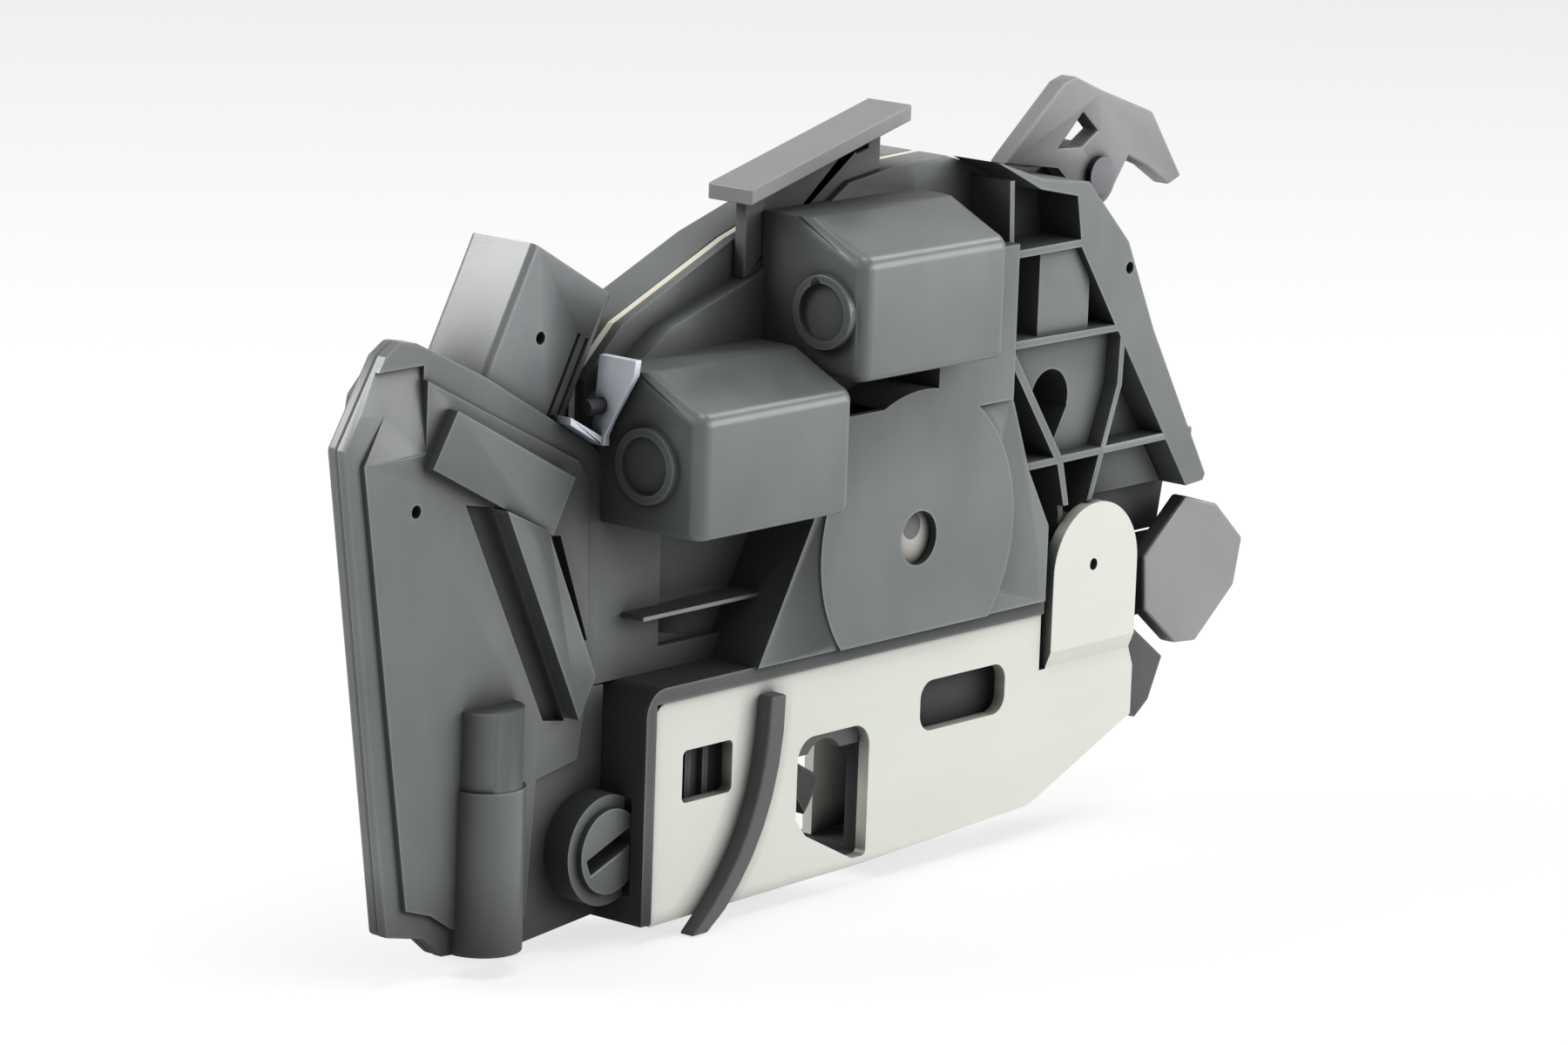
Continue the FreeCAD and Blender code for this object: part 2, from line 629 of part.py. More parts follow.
def coil(name, x, z, inner, leg_turn):
    """A torsion spring round a pin, with one straight leg."""
    gap = clearance / 2
    front = claw_front + claw_t + gap
    pitch = coil_wire + gap
    turns = (back_sheet_front - front - coil_wire - gap) / pitch
    middle = inner + gap + coil_wire / 2
    helix = doc.addObject("Part::Helix", f"{name}_path")
    bind(helix, "Pitch", pitch)
    bind(helix, "Height", pitch * turns)
    bind(helix, "Radius", middle)
    ring = doc.addObject("Part::RegularPolygon", f"{name}_wire")
    ring.Polygon = 8
    bind(ring, "Circumradius", coil_wire / 2)
    ring.Placement = FreeCAD.Placement(
        FreeCAD.Vector(middle.value, 0, 0), FreeCAD.Rotation(FreeCAD.Vector(1, 0, 0), 90))
    bind(ring, "Placement.Base.x", middle)
    doc.recompute()
    wound = doc.addObject("Part::Sweep", f"{name}_coil")
    wound.Sections = [ring]
    wound.Spine = (helix, ["Edge1"])
    wound.Solid = True
    wound.Frenet = True
    straight = doc.addObject("Part::Cylinder", f"{name}_leg")
    bind(straight, "Radius", coil_wire / 2)
    bind(straight, "Height", coil_leg)
    straight.Placement = FreeCAD.Placement(
        FreeCAD.Vector(middle.value, 0, 0), FreeCAD.Rotation(FreeCAD.Vector(1, 0, 0), 90))
    bind(straight, "Placement.Base.x", middle)
    made = doc.addObject("Part::MultiFuse", name)
    made.Shapes = [wound, straight]
    made.Label = name
    turn = FreeCAD.Rotation(FreeCAD.Vector(1, 0, 0), 90)
    swing = FreeCAD.Rotation(FreeCAD.Vector(0, 1, 0), leg_turn)
    made.Placement = FreeCAD.Placement(
        FreeCAD.Vector(x.value, 0, z.value), swing.multiply(turn))
    bind(made, "Placement.Base.x", x)
    bind(made, "Placement.Base.y", back_sheet_front - gap - coil_wire / 2)
    bind(made, "Placement.Base.z", z)
    return made


# Main housing

FRONT_OUTLINE = [
    (cover_left, cover_foot), (cover_left, 97.0), (13.0, 109.2), (36.0, 116.0), (62.0, 131.0),
    (77.0, 133.0), (90.5, 133.5), (108.0, 128.5), (123.0, 126.5), (136.5, 113.4),
    (145.8, 95.0), (165.3, 63.0), (163.0, 51.0), (plate_right + 2.5, 51.0),
    (plate_right + 2.5, cover_foot)]

REAR_OUTLINE = [
    (cover_left, cover_foot), (cover_left, 101.0), (4.0, 110.0), (34.0, 122.5), (62.0, 131.0),
    (77.0, 133.0), (90.5, 133.5), (108.0, 128.5), (123.0, 126.5), (136.5, 113.4),
    (145.8, 95.0), (165.3, 63.0), (163.0, 51.0), (plate_right + 2.5, 51.0),
    (plate_right + 2.5, cover_foot)]

TOP_LIP = [
    (cover_left, 95.5), (13.0, 107.6), (37.0, 114.4), (62.0, 129.4), (62.0, 131.0),
    (34.0, 122.5), (4.0, 110.0), (cover_left, 101.0)]

FRAME_BAND = [
    (94.0, 133.0), (109.0, 128.3), (123.0, 126.5), (136.5, 113.4), (145.8, 95.0),
    (165.3, 63.0), (164.6, 61.8), (159.0, 61.4), (121.5, 113.7), (119.5, 124.0),
    (108.0, 126.4)]

FLAT_RIBS = [
    flat_rib(at(98.2, 114.4), at(124.0, 114.6), rib_t),
    flat_rib(at(98.2, 96.6), at(136.0, 96.4), rib_t),
    flat_rib(at(98.0, 72.0), at(160.0, 72.6), rib_t),
    flat_rib(at(110.0, 54.8), at(119.5, 54.6), rib_t)]

STEEP_RIBS = [
    [(120.0, cover_foot), (121.3, cover_foot), (121.3, 61.0), (118.5, 72.0), (100.6, 97.0),
     (98.2, 97.0), (116.7, 71.4), (119.7, 61.0)],
    [(127.2, 60.0), (136.4, 84.8), (136.9, 96.0), (135.3, 96.0), (134.8, 85.1), (125.6, 60.0)],
    [(99.6, 98.0), (101.0, 98.0), (99.6, 129.0), (98.2, 129.0)]]


def motor_cover(piece, left, foot):
    """A box over a motor whose top slopes back, rounded in front and open behind."""
    top = foot + bulge_height
    rise = top + bulge_rise
    back = floor_front + overlap
    right = left + bulge_width
    piece.add("side", left, bulge_width, [
        (bulge_front, foot), (back, foot), (back, rise), (bulge_front + bulge_slope, rise),
        (bulge_front, top)])
    piece.round_edges(2, [(left, bulge_front), (right, bulge_front)], bulge_corner)
    piece.round_edges(0, [(bulge_front, top)], bulge_corner - 0.2)
    piece.round_edges(0, [(bulge_front, foot)], bulge_corner / 2)


def motor_room(foot):
    """The section of the space inside a motor cover, narrower where it meets the floor."""
    top = foot + bulge_height
    middle = foot + bulge_height / 2
    back = floor_front + wall + overlap
    throat = motor_flat - 2.15
    return [
        (bulge_front + wall, foot + wall / 2), (floor_front, foot + wall / 2),
        (back, middle - throat), (back, middle + throat), (floor_front, top - wall / 2),
        (bulge_front + wall, top - wall / 2)]


def front_cover():
    piece = Piece("front_cover")
    depth = floor_front - dome_front + overlap
    deep = dome_front + dome_skin
    through = floor_front + wall + overlap - deep
    lattice = floor_front + overlap
    tunnel_half = worm_r + clearance * 2
    sector_left = sector_x - sector_tip - clearance * 2
    sector_right = sector_x + sector_tip + clearance * 2
    piece.add("front", floor_front, cover_back - floor_front, FRONT_OUTLINE)
    piece.shell([cover_back], wall)
    motor_cover(piece, low_left, low_foot)
    motor_cover(piece, high_left, high_foot)
    piece.add("front", deck_front, lattice - deck_front, [
        (26.5, cover_foot), (112.5, cover_foot), (112.5, 60.0), (105.5, 72.0), (100.0, 86.0),
        (92.0, 96.5), (60.0, 84.0), (46.0, 75.5), (42.0, 75.5), (41.0, 71.0)])
    piece.add_disc("front", dome_front, depth, (gear_x, dome_z, dome_r), cover_foot)
    piece.add("front", dome_front, depth,
              rectangle((low_right - 1.0, gear_x), (low_axis - tunnel_half - wall,
                                                    low_axis + tunnel_half)))
    sector_foot = sector_z - sector_tip - clearance * 2
    tunnel_left = high_right - wall - 3.0
    piece.add("front", dome_front, depth, rectangle(
        (sector_left - wall, sector_right + 1.6), (sector_foot - 1.6, high_axis + 7.0)))
    for left, y, z in ((low_left, -1.5, low_axis + 1.2), (high_left, -5.0, high_axis + 1.0)):
        ring_left = left - ring_proud
        piece.add_round("side", ring_left, ring_proud + overlap, (y, z, ring_r))
        piece.cut_round("side", ring_left, ring_proud - clearance, (y, z, ring_r - 1.6))
    inside = bulge_width - wall * 2
    piece.cut("side", low_left + wall, inside, motor_room(low_foot))
    piece.cut("side", high_left + wall, inside, motor_room(high_foot))
    piece.cut_disc("front", deep, through, (gear_x, dome_z, dome_r - wall), cover_foot + wall)
    piece.cut("front", deep, through, rectangle(
        (low_right - 3.0, gear_x + 12.0), (low_axis - tunnel_half, low_axis + tunnel_half)))
    piece.cut("front", deep, through, [
        (sector_left, sector_foot), (sector_right, sector_foot),
        (sector_right, high_axis + 5.0), (tunnel_left, high_axis + 5.0),
        (tunnel_left, high_axis - tunnel_half), (sector_left, high_axis - tunnel_half)])
    piece.cut_round("front", dome_front, 3.0, (gear_x, dome_z, dome_hole_r))
    piece.cut("front", deck_front + wall, through + 2.0,
              rectangle((36.0, 58.0), (cover_foot + wall, 60.0)))
    piece.add("front", cover_back - wall, wall, TOP_LIP)
    post_back = cover_back + seal_t + rear_depth - wall - clearance
    piece.add_round("front", lattice, post_back - lattice, *[
        (x, z, screw_r + post_wall) for x, z in screw_spots])
    piece.cut_round("front", screw_tip - overlap, post_back - screw_tip + overlap, *[
        (x, z, screw_r) for x, z in screw_spots])
    piece.add("front", 0, lattice, FRAME_BAND)
    piece.add("front", 0, lattice, *FLAT_RIBS)
    piece.add("front", 0, lattice, *STEEP_RIBS)
    piece.add("front", high_deck, lattice - high_deck, [
        (110.0, 97.0), (126.0, 97.0), (126.0, 107.0), (120.9, 114.0), (110.0, 114.0)])
    piece.add("front", middle_deck, lattice - middle_deck, [
        (101.5, 95.9), (135.0, 95.9), (134.6, 85.5), (129.6, 72.5), (118.4, 72.5)])
    piece.add("front", low_deck, lattice - low_deck, [
        (137.0, 91.0), (149.8, 73.2), (132.6, 73.2), (136.2, 84.5)],
        [(131.6, 71.8), (150.4, 71.8), (157.6, 62.0), (128.0, 62.0)])
    piece.cut("front", -tab_step, sheet_t + clearance, rectangle(
        (tab_left - slit, tab_right + clearance), (cover_foot, tab_top + clearance)))
    piece.cut_round("front", 0, lattice + wall, (drop_x, drop_z, drop_r))
    piece.cut("front", 0, lattice + wall, [
        (drop_x - drop_r, drop_z - 1.8), (drop_x + 0.6, drop_z - 10.6),
        (drop_x + drop_r, drop_z - 1.8)])
    piece.cut("front", floor_front, wall, rectangle((102.6, 108.5), (98.5, 112.5)))
    piece.cut_round("front", 0, 3.0, (102.6, 63.4, 1.4), (137.2, 108.0, 1.2))
    return piece


def housing_seal():
    piece = Piece("housing_seal")
    piece.add("front", cover_back, seal_t, REAR_OUTLINE)
    piece.shell([cover_back, cover_back + seal_t], wall)
    return piece


def rear_cover():
    piece = Piece("rear_cover")
    front = cover_back + seal_t
    rear = front + rear_depth
    inner = rear - wall
    piece.add("front", front, rear_depth, REAR_OUTLINE)
    piece.shell([front], wall)
    piece.add("front", front, rear_depth - 1.0, [
        (lever_x - 15.0, lever_z - 6.0), (lever_x - 1.5, lever_z - 21.0),
        (lever_x + 4.6, lever_z - 15.0), (lever_x + 6.5, lever_z - 1.0),
        (lever_x + 4.5, lever_z + 4.0), (lever_x - 4.0, lever_z + 4.6),
        (lever_x - 11.0, lever_z + 1.5)])
    lug_front = lever_front + lever_t + clearance
    piece.add_round("front", lug_front, rear_depth, (lever_x, lever_z, lever_boss_r - 0.2))
    piece.cut_round("front", lug_front, rear_depth, (lever_x, lever_z, lever_pin_r + running))
    pins = [(gear_x, gear_z), (sector_x, sector_z)]
    post_front = floor_front - 0.5
    piece.add_round("front", post_front, inner - post_front, *[
        (x, z, gear_pin_r + 2.5) for x, z in pins])
    piece.cut_round("front", post_front, pin_socket, *[
        (x, z, gear_pin_r + running) for x, z in pins])
    piece.cut_round("front", inner, wall, *[(x, z, screw_r + clearance) for x, z in screw_spots])
    return piece


def cover_screws():
    """The screws that hold the rear cover to the front cover's bosses."""
    piece = Piece("cover_screws")
    rear = cover_back + seal_t + rear_depth
    piece.add_round("front", rear, screw_head, *[(x, z, screw_head_r) for x, z in screw_spots])
    piece.add_round("front", screw_tip, rear - screw_tip, *[
        (x, z, screw_r - running) for x, z in screw_spots])
    return piece


# Motors, worms and gears

def motor(name, left, axis_z):
    piece = Piece(name)
    start = left + motor_in
    piece.add_round("side", start, motor_length, (motor_y, axis_z, motor_r))
    for side in (-1, 1):
        low = axis_z + motor_flat * side
        high = axis_z + (motor_r + 1.0) * side
        piece.cut("side", start, motor_length, [
            (motor_y - motor_r, low), (motor_y + motor_r, low),
            (motor_y + motor_r, high), (motor_y - motor_r, high)])
    piece.add_round("side", start + motor_length, motor_nose, (motor_y, axis_z, shaft_r + 2.2))
    return piece


def worm(name, left, axis_z, middle, length):
    piece = Piece(name)
    start = left + motor_in + motor_length + motor_nose + clearance
    end = middle + length / 2 + 2.0
    piece.add_round("side", start, end - start, (motor_y, axis_z, shaft_r))
    piece.add_round("side", middle - length / 2, length, (motor_y, axis_z, worm_r))
    return piece


def place(piece, x, z):
    piece.body.Placement.Base = FreeCAD.Vector(x.value, 0, z.value)
    bind(piece.body, "Placement.Base.x", x)
    bind(piece.body, "Placement.Base.z", z)
    doc.recompute()
    return piece


def toothed_wheel(name, x, z, tip, count, bore):
    """A gear with straight flanks, its teeth set out by a polar pattern."""
    piece = Piece(name)
    root = tip - tooth_h
    piece.add_round("front", gear_front, gear_t, (0, 0, root))
    half = tip * (math.pi / count / 2.6)
    tooth = piece.add("front", gear_front, gear_t, [
        (root - 0.6, -half * 1.25), (tip, -half * 0.75), (tip, half * 0.75),
        (root - 0.6, half * 1.25)])
    ring = piece.body.newObject("PartDesign::PolarPattern", "teeth")
    ring.Originals = [tooth]
    ring.Axis = ([f for f in piece.body.Origin.OriginFeatures if f.Role == "Y_Axis"][0], [""])
    ring.Angle = 360
    ring.Occurrences = count
    piece.body.Tip = ring
    doc.recompute()
    piece.add_round("front", gear_front + gear_t, gear_hub, (0, 0, bore + 3.0))
    piece.cut_round("front", gear_front, gear_t + gear_hub, (0, 0, bore + running))
    return place(piece, x, z)


def gear_pin(name, x, z):
    piece = Piece(name)
    rear = floor_front - 0.5 + pin_socket - 0.5
    piece.add_round("front", gear_front, rear - gear_front, (x, z, gear_pin_r))
    return piece


def lock_lever():
    """The lever behind the lock gear that blocks the release."""
    piece = Piece("lock_lever")
    front = gear_front + gear_t + gear_hub + clearance
    piece.add("front", front, lever_plate, [
        (-5.0, 4.0), (-4.0, -14.0), (0.0, -16.0), (4.0, -14.0), (5.0, 4.0), (18.0, 9.0),
        (16.0, 13.0), (-2.0, 7.0)])
    piece.cut_round("front", front, lever_plate, (0, 0, gear_pin_r + running))
    return place(piece, gear_x, gear_z)


# Side case with its cover

case_right = -rim_width - clearance
case_corner_x = cover_left - 2.5

WING = [
    (-59.4, 7.2), (-50.0, 5.2), (-45.0, 1.0), (-24.0, -0.5), (case_right, 1.5),
    (case_right, cover_foot - clearance), (cover_left, cover_foot - clearance),
    (cover_left, 88.0), (case_corner_x, tower_z - (case_corner_x - tower_x) * tower_slope),
    (tower_x - 1.7, tower_z + tower_slope * 1.7), (-55.0, 114.2), (-59.0, 114.9),
    (-62.8, 112.6), (-72.5, 97.0)]

case_right_in = case_right - 0.6
case_top_in = tower_z - 0.7

CASE = [
    (-46.0, 12.0), (-40.0, 4.0), (-24.0, 3.0), (case_right_in, 4.0),
    (case_right_in, cover_foot - clearance * 3), (cover_left - 0.6, cover_foot - clearance * 3),
    (cover_left - 0.6, 87.2),
    (case_corner_x, case_top_in - (case_corner_x - tower_x) * tower_slope),
    (tower_x - 1.7, case_top_in + tower_slope * 1.7), (-50.0, 109.0), (-56.0, 103.0),
    (-58.0, 92.0)]

PANEL = [
    (-55.6, 11.5), (-49.0, 9.5), (-43.5, 6.0), (-24.0, 4.5), (-22.0, 30.0), (-11.0, 32.0),
    (-9.0, 44.0), (-10.0, 84.0), (-13.0, 88.0), (-39.0, 100.5), (-54.0, 108.0),
    (-59.6, 106.8), (-68.6, 94.0)]

PAD = [(-47.8, 101.8), (-53.8, 92.0), (-21.9, 75.7), (-16.4, 85.6)]

BRACE = [(-35.2, 82.2), (-24.0, 77.0), (-10.4, 48.0), (-14.6, 40.4)]

GROOVES = [
    [(-42.4, 83.6), (-35.5, 82.4), (-14.9, 39.9), (-20.6, 40.8)],
    [(-23.4, 75.4), (-17.2, 74.6), (-6.3, 46.3), (-9.9, 47.2)]]

SHOULDER = [
    (wing_front - wing_raise, 94.0), (wing_front + 0.9, 110.0), (wing_front - 4.0, 110.0),
    (wing_front - 4.0, 94.0)]


def side_case():
    piece = Piece("side_case")
    front = wing_front + wing_lid
    piece.add("front", front, wing_back - front, CASE)
    piece.shell([front], wall)
    piece.add("front", front, case_lip, WING, CASE)
    return piece


def side_cover():
    piece = Piece("side_cover")
    panel = wing_front - wing_raise
    pillar_y = wing_front - 0.5
    piece.add("front", wing_front, wing_lid, WING)
    piece.add("front", panel, wing_raise, PANEL)
    piece.cut("side", -70.0, 17.0, SHOULDER)
    piece.add("front", pad_front, wing_front - pad_front, PAD)
    piece.add("front", brace_front, wing_front - brace_front, BRACE)
    piece.add_round("top", pillar_foot, 45.0, (pillar_x, pillar_y, pillar_r - 0.6))
    piece.add_round("top", pillar_foot, 30.4, (pillar_x, pillar_y, pillar_r))
    piece.cut("front", wing_front + wing_lid, pillar_r, rectangle(
        (pillar_x - pillar_r - 1.0, pillar_x + pillar_r + 1.0), (-2.0, 47.0)))
    piece.cut("front", brace_front, wing_front + 1.0 - brace_front, *GROOVES)
    piece.cut_round("front", 0.0, wing_front + 0.8, (-55.2, 84.2, 1.2))
    reach = rotor_r + 2.4
    rear = wing_front + wing_lid
    piece.add_round("front", rotor_front + 1.2, rear - rotor_front - 1.2,
                    (rotor_x, rotor_z, reach))
    piece.cut("front", 0.0, carrier_back, rectangle(
        (-rim_width - clearance, rotor_x + reach), (0.0, cover_foot)))
    piece.cut_round("front", 0.0, rear, (rotor_x, rotor_z, rotor_r + running))
    return piece


def key_rotor():
    piece = Piece("key_rotor")
    rear = wing_front + wing_lid - clearance
    piece.add_round("front", rotor_front, rear - rotor_front, (0, 0, rotor_r))
    turn = ring_points(6.2, -159.0, 21.0, 1)
    half = 1.4
    piece.cut("front", rotor_front, 4.0, [
        (turn[0][0] - half * 0.4, turn[0][1] + half), (turn[0][0] + half * 0.4, turn[0][1] - half),
        (turn[1][0] + half * 0.4, turn[1][1] - half), (turn[1][0] - half * 0.4, turn[1][1] + half)])
    piece.add_round("front", rear, 8.0, (0, 0, spindle_r))
    piece.add("front", rear + 6.0, 2.0, [
        (spindle_r / 2, -spindle_r), (spindle_r / 2, spindle_r), (-3.0, 3.2), (-9.5, 1.6), (-9.5, -1.6), (-3.0, -3.2)])
    return place(piece, rotor_x, rotor_z)


def circuit_carrier():
    """The plastic plate with the sheet metal tracks, on the side case's rear wall."""
    piece = Piece("circuit_carrier")
    rear = wing_back - wall
    piece.add("front", rear - 1.6, 1.6, [
        (-43.0, 14.0), (-38.0, 10.0), (-22.0, 10.0), (-22.0, 34.0), (-11.0, 40.0),
        (-11.0, 84.0), (-36.0, 98.0), (-48.0, 100.0), (-52.0, 92.0)])
    return piece


def microswitches():
    """The detection switches on the circuit carrier."""
    piece = Piece("microswitches")
    seat = wing_back - wall - 1.6
    for x, z in ((-33.0, 14.0), (-33.0, 60.0), (-46.0, 84.0)):
        piece.add("front", seat - 5.8, 5.8, rectangle((x, x + 8.2), (z, z + 6.4)))
        piece.add("front", seat - 4.2, 2.6, rectangle((x + 8.2, x + 9.6), (z + 2.0, z + 4.4)))
    return piece


# Connector on the side case

def lean(piece):
    piece.body.Placement = FreeCAD.Placement(
        FreeCAD.Vector(tower_x.value, 0, tower_z.value),
        FreeCAD.Rotation(FreeCAD.Vector(0, 1, 0), tower_lean.value))
    bind(piece.body, "Placement.Base.x", tower_x)
    bind(piece.body, "Placement.Base.z", tower_z)
    piece.body.setExpression("Placement.Rotation.Angle", f"{tower_lean.text} * 1 deg")
    doc.recompute()
    return piece


def connector_shell():
    piece = Piece("connector_shell")
    back = tower_front + tower_d
    piece.add("front", tower_front, tower_d, rectangle((0.0, tower_w), (0.0, tower_h)))
    corners = [
        (0.0, tower_front), (tower_w, tower_front), (0.0, back), (tower_w, back)]
    piece.round_edges(2, corners, 1.4)
    piece.cut("front", tower_front + tower_wall, tower_d - tower_wall * 2, rectangle(
        (tower_wall, tower_w - tower_wall), (socket_floor, tower_h)))
    piece.cut_round("front", tower_front, tower_wall, (10.2, 12.2, 1.2))
    piece.cut("front", tower_front, 0.7, *[
        rectangle((tower_w - x, tower_w - x + 0.9), (0.0, 17.0)) for x in (3.0, 5.4)])
    return lean(piece)


def terminals():
    """Two rows of blades that stand in the connector's socket."""
    piece = Piece("terminals")
    for row in range(2):
        y = tower_front + tower_d * (0.36 + 0.22 * row)
        blades = []
        for column in range(6):
            x = tower_w * (0.18 + 0.128 * column)
            blades.append(rectangle((x, x + 0.8), (socket_floor, tower_h - 7.0)))
        piece.add("front", y, 0.8, *blades)
    return lean(piece)


def steel_strip():
    """The bent steel strip between the connector and the lower motor cover."""
    piece = Piece("steel_strip")
    foot = tower_z - (case_corner_x - tower_x) * tower_slope + 0.1
    piece.add("front", 0.8, 8.8, [
        (-9.2, foot + 0.4), (-7.6, foot), (-7.7, 95.0), (-5.8, 106.6), (-7.4, 106.6)])
    tail_left = case_corner_x - 9.0
    piece.add("front", 7.0, 4.9, [
        (tail_left, foot + tower_slope * 9.0), (case_corner_x, foot), (-7.6, foot),
        (-7.6, foot + 1.8), (case_corner_x, foot + 1.6),
        (tail_left, foot + tower_slope * 9.0 + 1.4)])
    piece.cut("side", -13.0, 8.0, [(0.0, 105.5), (6.4, foot + 1.9), (6.4, foot - 6.0), (0.0, foot - 6.0)])
    piece.cut_round("side", -13.0, 8.0, (wing_front - 2.0, 97.6, 1.5 + running))
    return piece


def strip_pin():
    piece = Piece("strip_pin")
    piece.add_round("side", -12.6, 5.4, (wing_front - 2.0, 97.6, 1.5))
    return piece


# Outer brackets and levers

def guide_rail():
    """The T shaped rail on top of the housing."""
    piece = Piece("guide_rail")
    web_front = floor_front + 1.0 + clearance
    piece.add("front", 6.0, 10.7, [
        (29.3, 130.4), (74.9, 142.1), (74.9, 145.2), (29.3, 133.5)])
    piece.add("front", web_front, 2.6, [
        (34.0, 115.5), (36.0, 116.0), (62.0, 131.0), (72.5, 132.4), (72.5, 142.5), (34.0, 132.0)])
    piece.cut("front", web_front, 2.6, [
        (65.5, 136.0), (69.0, 136.8), (69.0, 140.0), (65.5, 139.1)])
    return piece


def release_lever():
    piece = Piece("release_lever")
    piece.add("front", lever_front, lever_t, [
        (111.4, 129.4), (114.4, 131.9), (129.4, 143.8), (133.0, 144.8), (141.5, 141.4),
        (158.4, 135.6), (168.8, 121.6), (164.8, 120.2), (157.4, 124.6), (151.0, 127.2),
        (145.0, 120.0), (137.0, 120.0), (128.0, 127.4), (118.4, 128.2)])
    piece.add_round("front", lever_front, lever_t, (lever_x, lever_z, lever_boss_r))
    piece.cut("front", lever_front, lever_t, [
        (128.6, 131.0), (135.6, 130.6), (140.6, 133.4), (135.8, 137.4)])
    piece.cut_round("front", lever_front, lever_t, (lever_x, lever_z, lever_pin_r + running))
    return piece


def lever_pin():
    piece = Piece("lever_pin")
    piece.add_round("front", lever_front - pin_head, pin_head,
                    (lever_x, lever_z, lever_pin_r + 1.8))
    piece.add_round("front", lever_front, lever_t + rear_depth, (lever_x, lever_z, lever_pin_r))
    return piece


def backup_knob():
    piece = Piece("backup_knob")
    piece.add("front", knob_front, knob_t, [
        (-16.2, 4.6), (-15.4, -6.4), (-4.8, -14.8), (2.4, -15.4), (14.6, -5.6), (16.8, 4.0),
        (7.6, 12.2), (-3.0, 15.2)])
    piece.add_round("front", knob_front + knob_t, 6.7, (0, 0, knob_shaft_r))
    return place(piece, knob_x, knob_z)


# Write the pieces

def write(things):
    doc.recompute()
    os.makedirs("parts", exist_ok=True)
    for made in doc.Objects:
        if "Invalid" in made.State or "Error" in made.State:
            raise RuntimeError(f"{made.Label} is {made.State}")
    for made in doc.Objects:
        if made.TypeId == "PartDesign::Pocket":
            body = made.getParentGeoFeatureGroup()
            before = body.Group[body.Group.index(made) - 2]
            if before.Shape.Volume - made.Shape.Volume < NEAR:
                raise RuntimeError(f"{made.Label} cuts nothing from {body.Label}")
    for thing in things:
        target = thing.body if isinstance(thing, Piece) else thing
        shape = target.Shape
        if shape.isNull() or not shape.isValid():
            raise RuntimeError(f"{target.Label} has no valid shape")
        shape.exportStep(f"parts/{target.Label}.step")
        print(target.Label, round(shape.Volume), len(shape.Solids))


steel_claw = claw()
write([
    latch_plate(), latch_carrier(), back_sheet(),
    rivet_pin("claw_pin", claw_x, claw_z, claw_pin_r),
    rivet_pin("pawl_pin", pawl_x, pawl_z, pawl_pin_r),
    slot_bumper(), edge_strip(), steel_claw, claw_jacket(steel_claw), pawl(),
    coil("claw_spring", claw_x, claw_z, claw_pin_r, 20),
    coil("pawl_spring", pawl_x, pawl_z, pawl_pin_r, 0),
    front_cover(), housing_seal(), rear_cover(),
    motor("lock_motor", low_left, low_axis), motor("deadlock_motor", high_left, high_axis),
    worm("lock_worm", low_left, low_axis, gear_x, as_size(16.0)),
    worm("deadlock_worm", high_left, high_axis, sector_x, as_size(12.0)),
    toothed_wheel("lock_gear", gear_x, gear_z, wheel_tip, 40, gear_pin_r),
    toothed_wheel("deadlock_gear", sector_x, sector_z, sector_tip, 18, gear_pin_r),
    gear_pin("lock_gear_pin", gear_x, gear_z), gear_pin("deadlock_gear_pin", sector_x, sector_z),
    lock_lever(), side_case(), side_cover(), key_rotor(), connector_shell(), terminals(),
    circuit_carrier(), microswitches(), cover_screws(),
    steel_strip(), strip_pin(), guide_rail(), release_lever(), lever_pin(), backup_knob(),
])
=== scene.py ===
# %% [markdown]
# A car door lock, dressed for a studio picture.
# The metal and plastic parts arrive as a fixed frame, in metres: X runs along the pale latch
# plate, Y runs back into the door and Z runs up. This lesson rounds their edges, sinks a
# pocket in the front cover, gives every piece a finish made of nodes, and sets the camera and
# the lights.

# %% Load the frame
import json
import math

import bmesh
import bpy
from mathutils import Matrix, Vector

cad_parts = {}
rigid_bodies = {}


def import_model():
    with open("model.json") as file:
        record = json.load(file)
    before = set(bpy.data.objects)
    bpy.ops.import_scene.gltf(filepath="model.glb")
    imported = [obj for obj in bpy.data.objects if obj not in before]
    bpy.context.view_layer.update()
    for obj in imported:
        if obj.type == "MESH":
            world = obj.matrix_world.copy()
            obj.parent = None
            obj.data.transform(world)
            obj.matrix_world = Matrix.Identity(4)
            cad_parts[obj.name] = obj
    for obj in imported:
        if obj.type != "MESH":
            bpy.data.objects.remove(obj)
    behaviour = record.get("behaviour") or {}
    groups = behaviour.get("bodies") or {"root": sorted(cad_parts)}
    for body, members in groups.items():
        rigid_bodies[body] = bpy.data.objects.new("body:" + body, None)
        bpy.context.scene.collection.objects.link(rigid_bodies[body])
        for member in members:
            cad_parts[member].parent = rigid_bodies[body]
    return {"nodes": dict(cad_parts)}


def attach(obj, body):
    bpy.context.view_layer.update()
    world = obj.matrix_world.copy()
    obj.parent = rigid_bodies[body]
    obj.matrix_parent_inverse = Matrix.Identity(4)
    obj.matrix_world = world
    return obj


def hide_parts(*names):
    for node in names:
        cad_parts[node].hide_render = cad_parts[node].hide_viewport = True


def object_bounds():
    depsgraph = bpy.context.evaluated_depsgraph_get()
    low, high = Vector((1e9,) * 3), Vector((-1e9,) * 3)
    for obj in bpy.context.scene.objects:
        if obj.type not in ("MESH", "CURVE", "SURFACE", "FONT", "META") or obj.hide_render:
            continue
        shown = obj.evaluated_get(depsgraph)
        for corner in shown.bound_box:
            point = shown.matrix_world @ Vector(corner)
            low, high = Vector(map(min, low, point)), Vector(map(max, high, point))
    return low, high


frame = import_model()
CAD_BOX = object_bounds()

NODES = frame["nodes"]
MM = 0.001

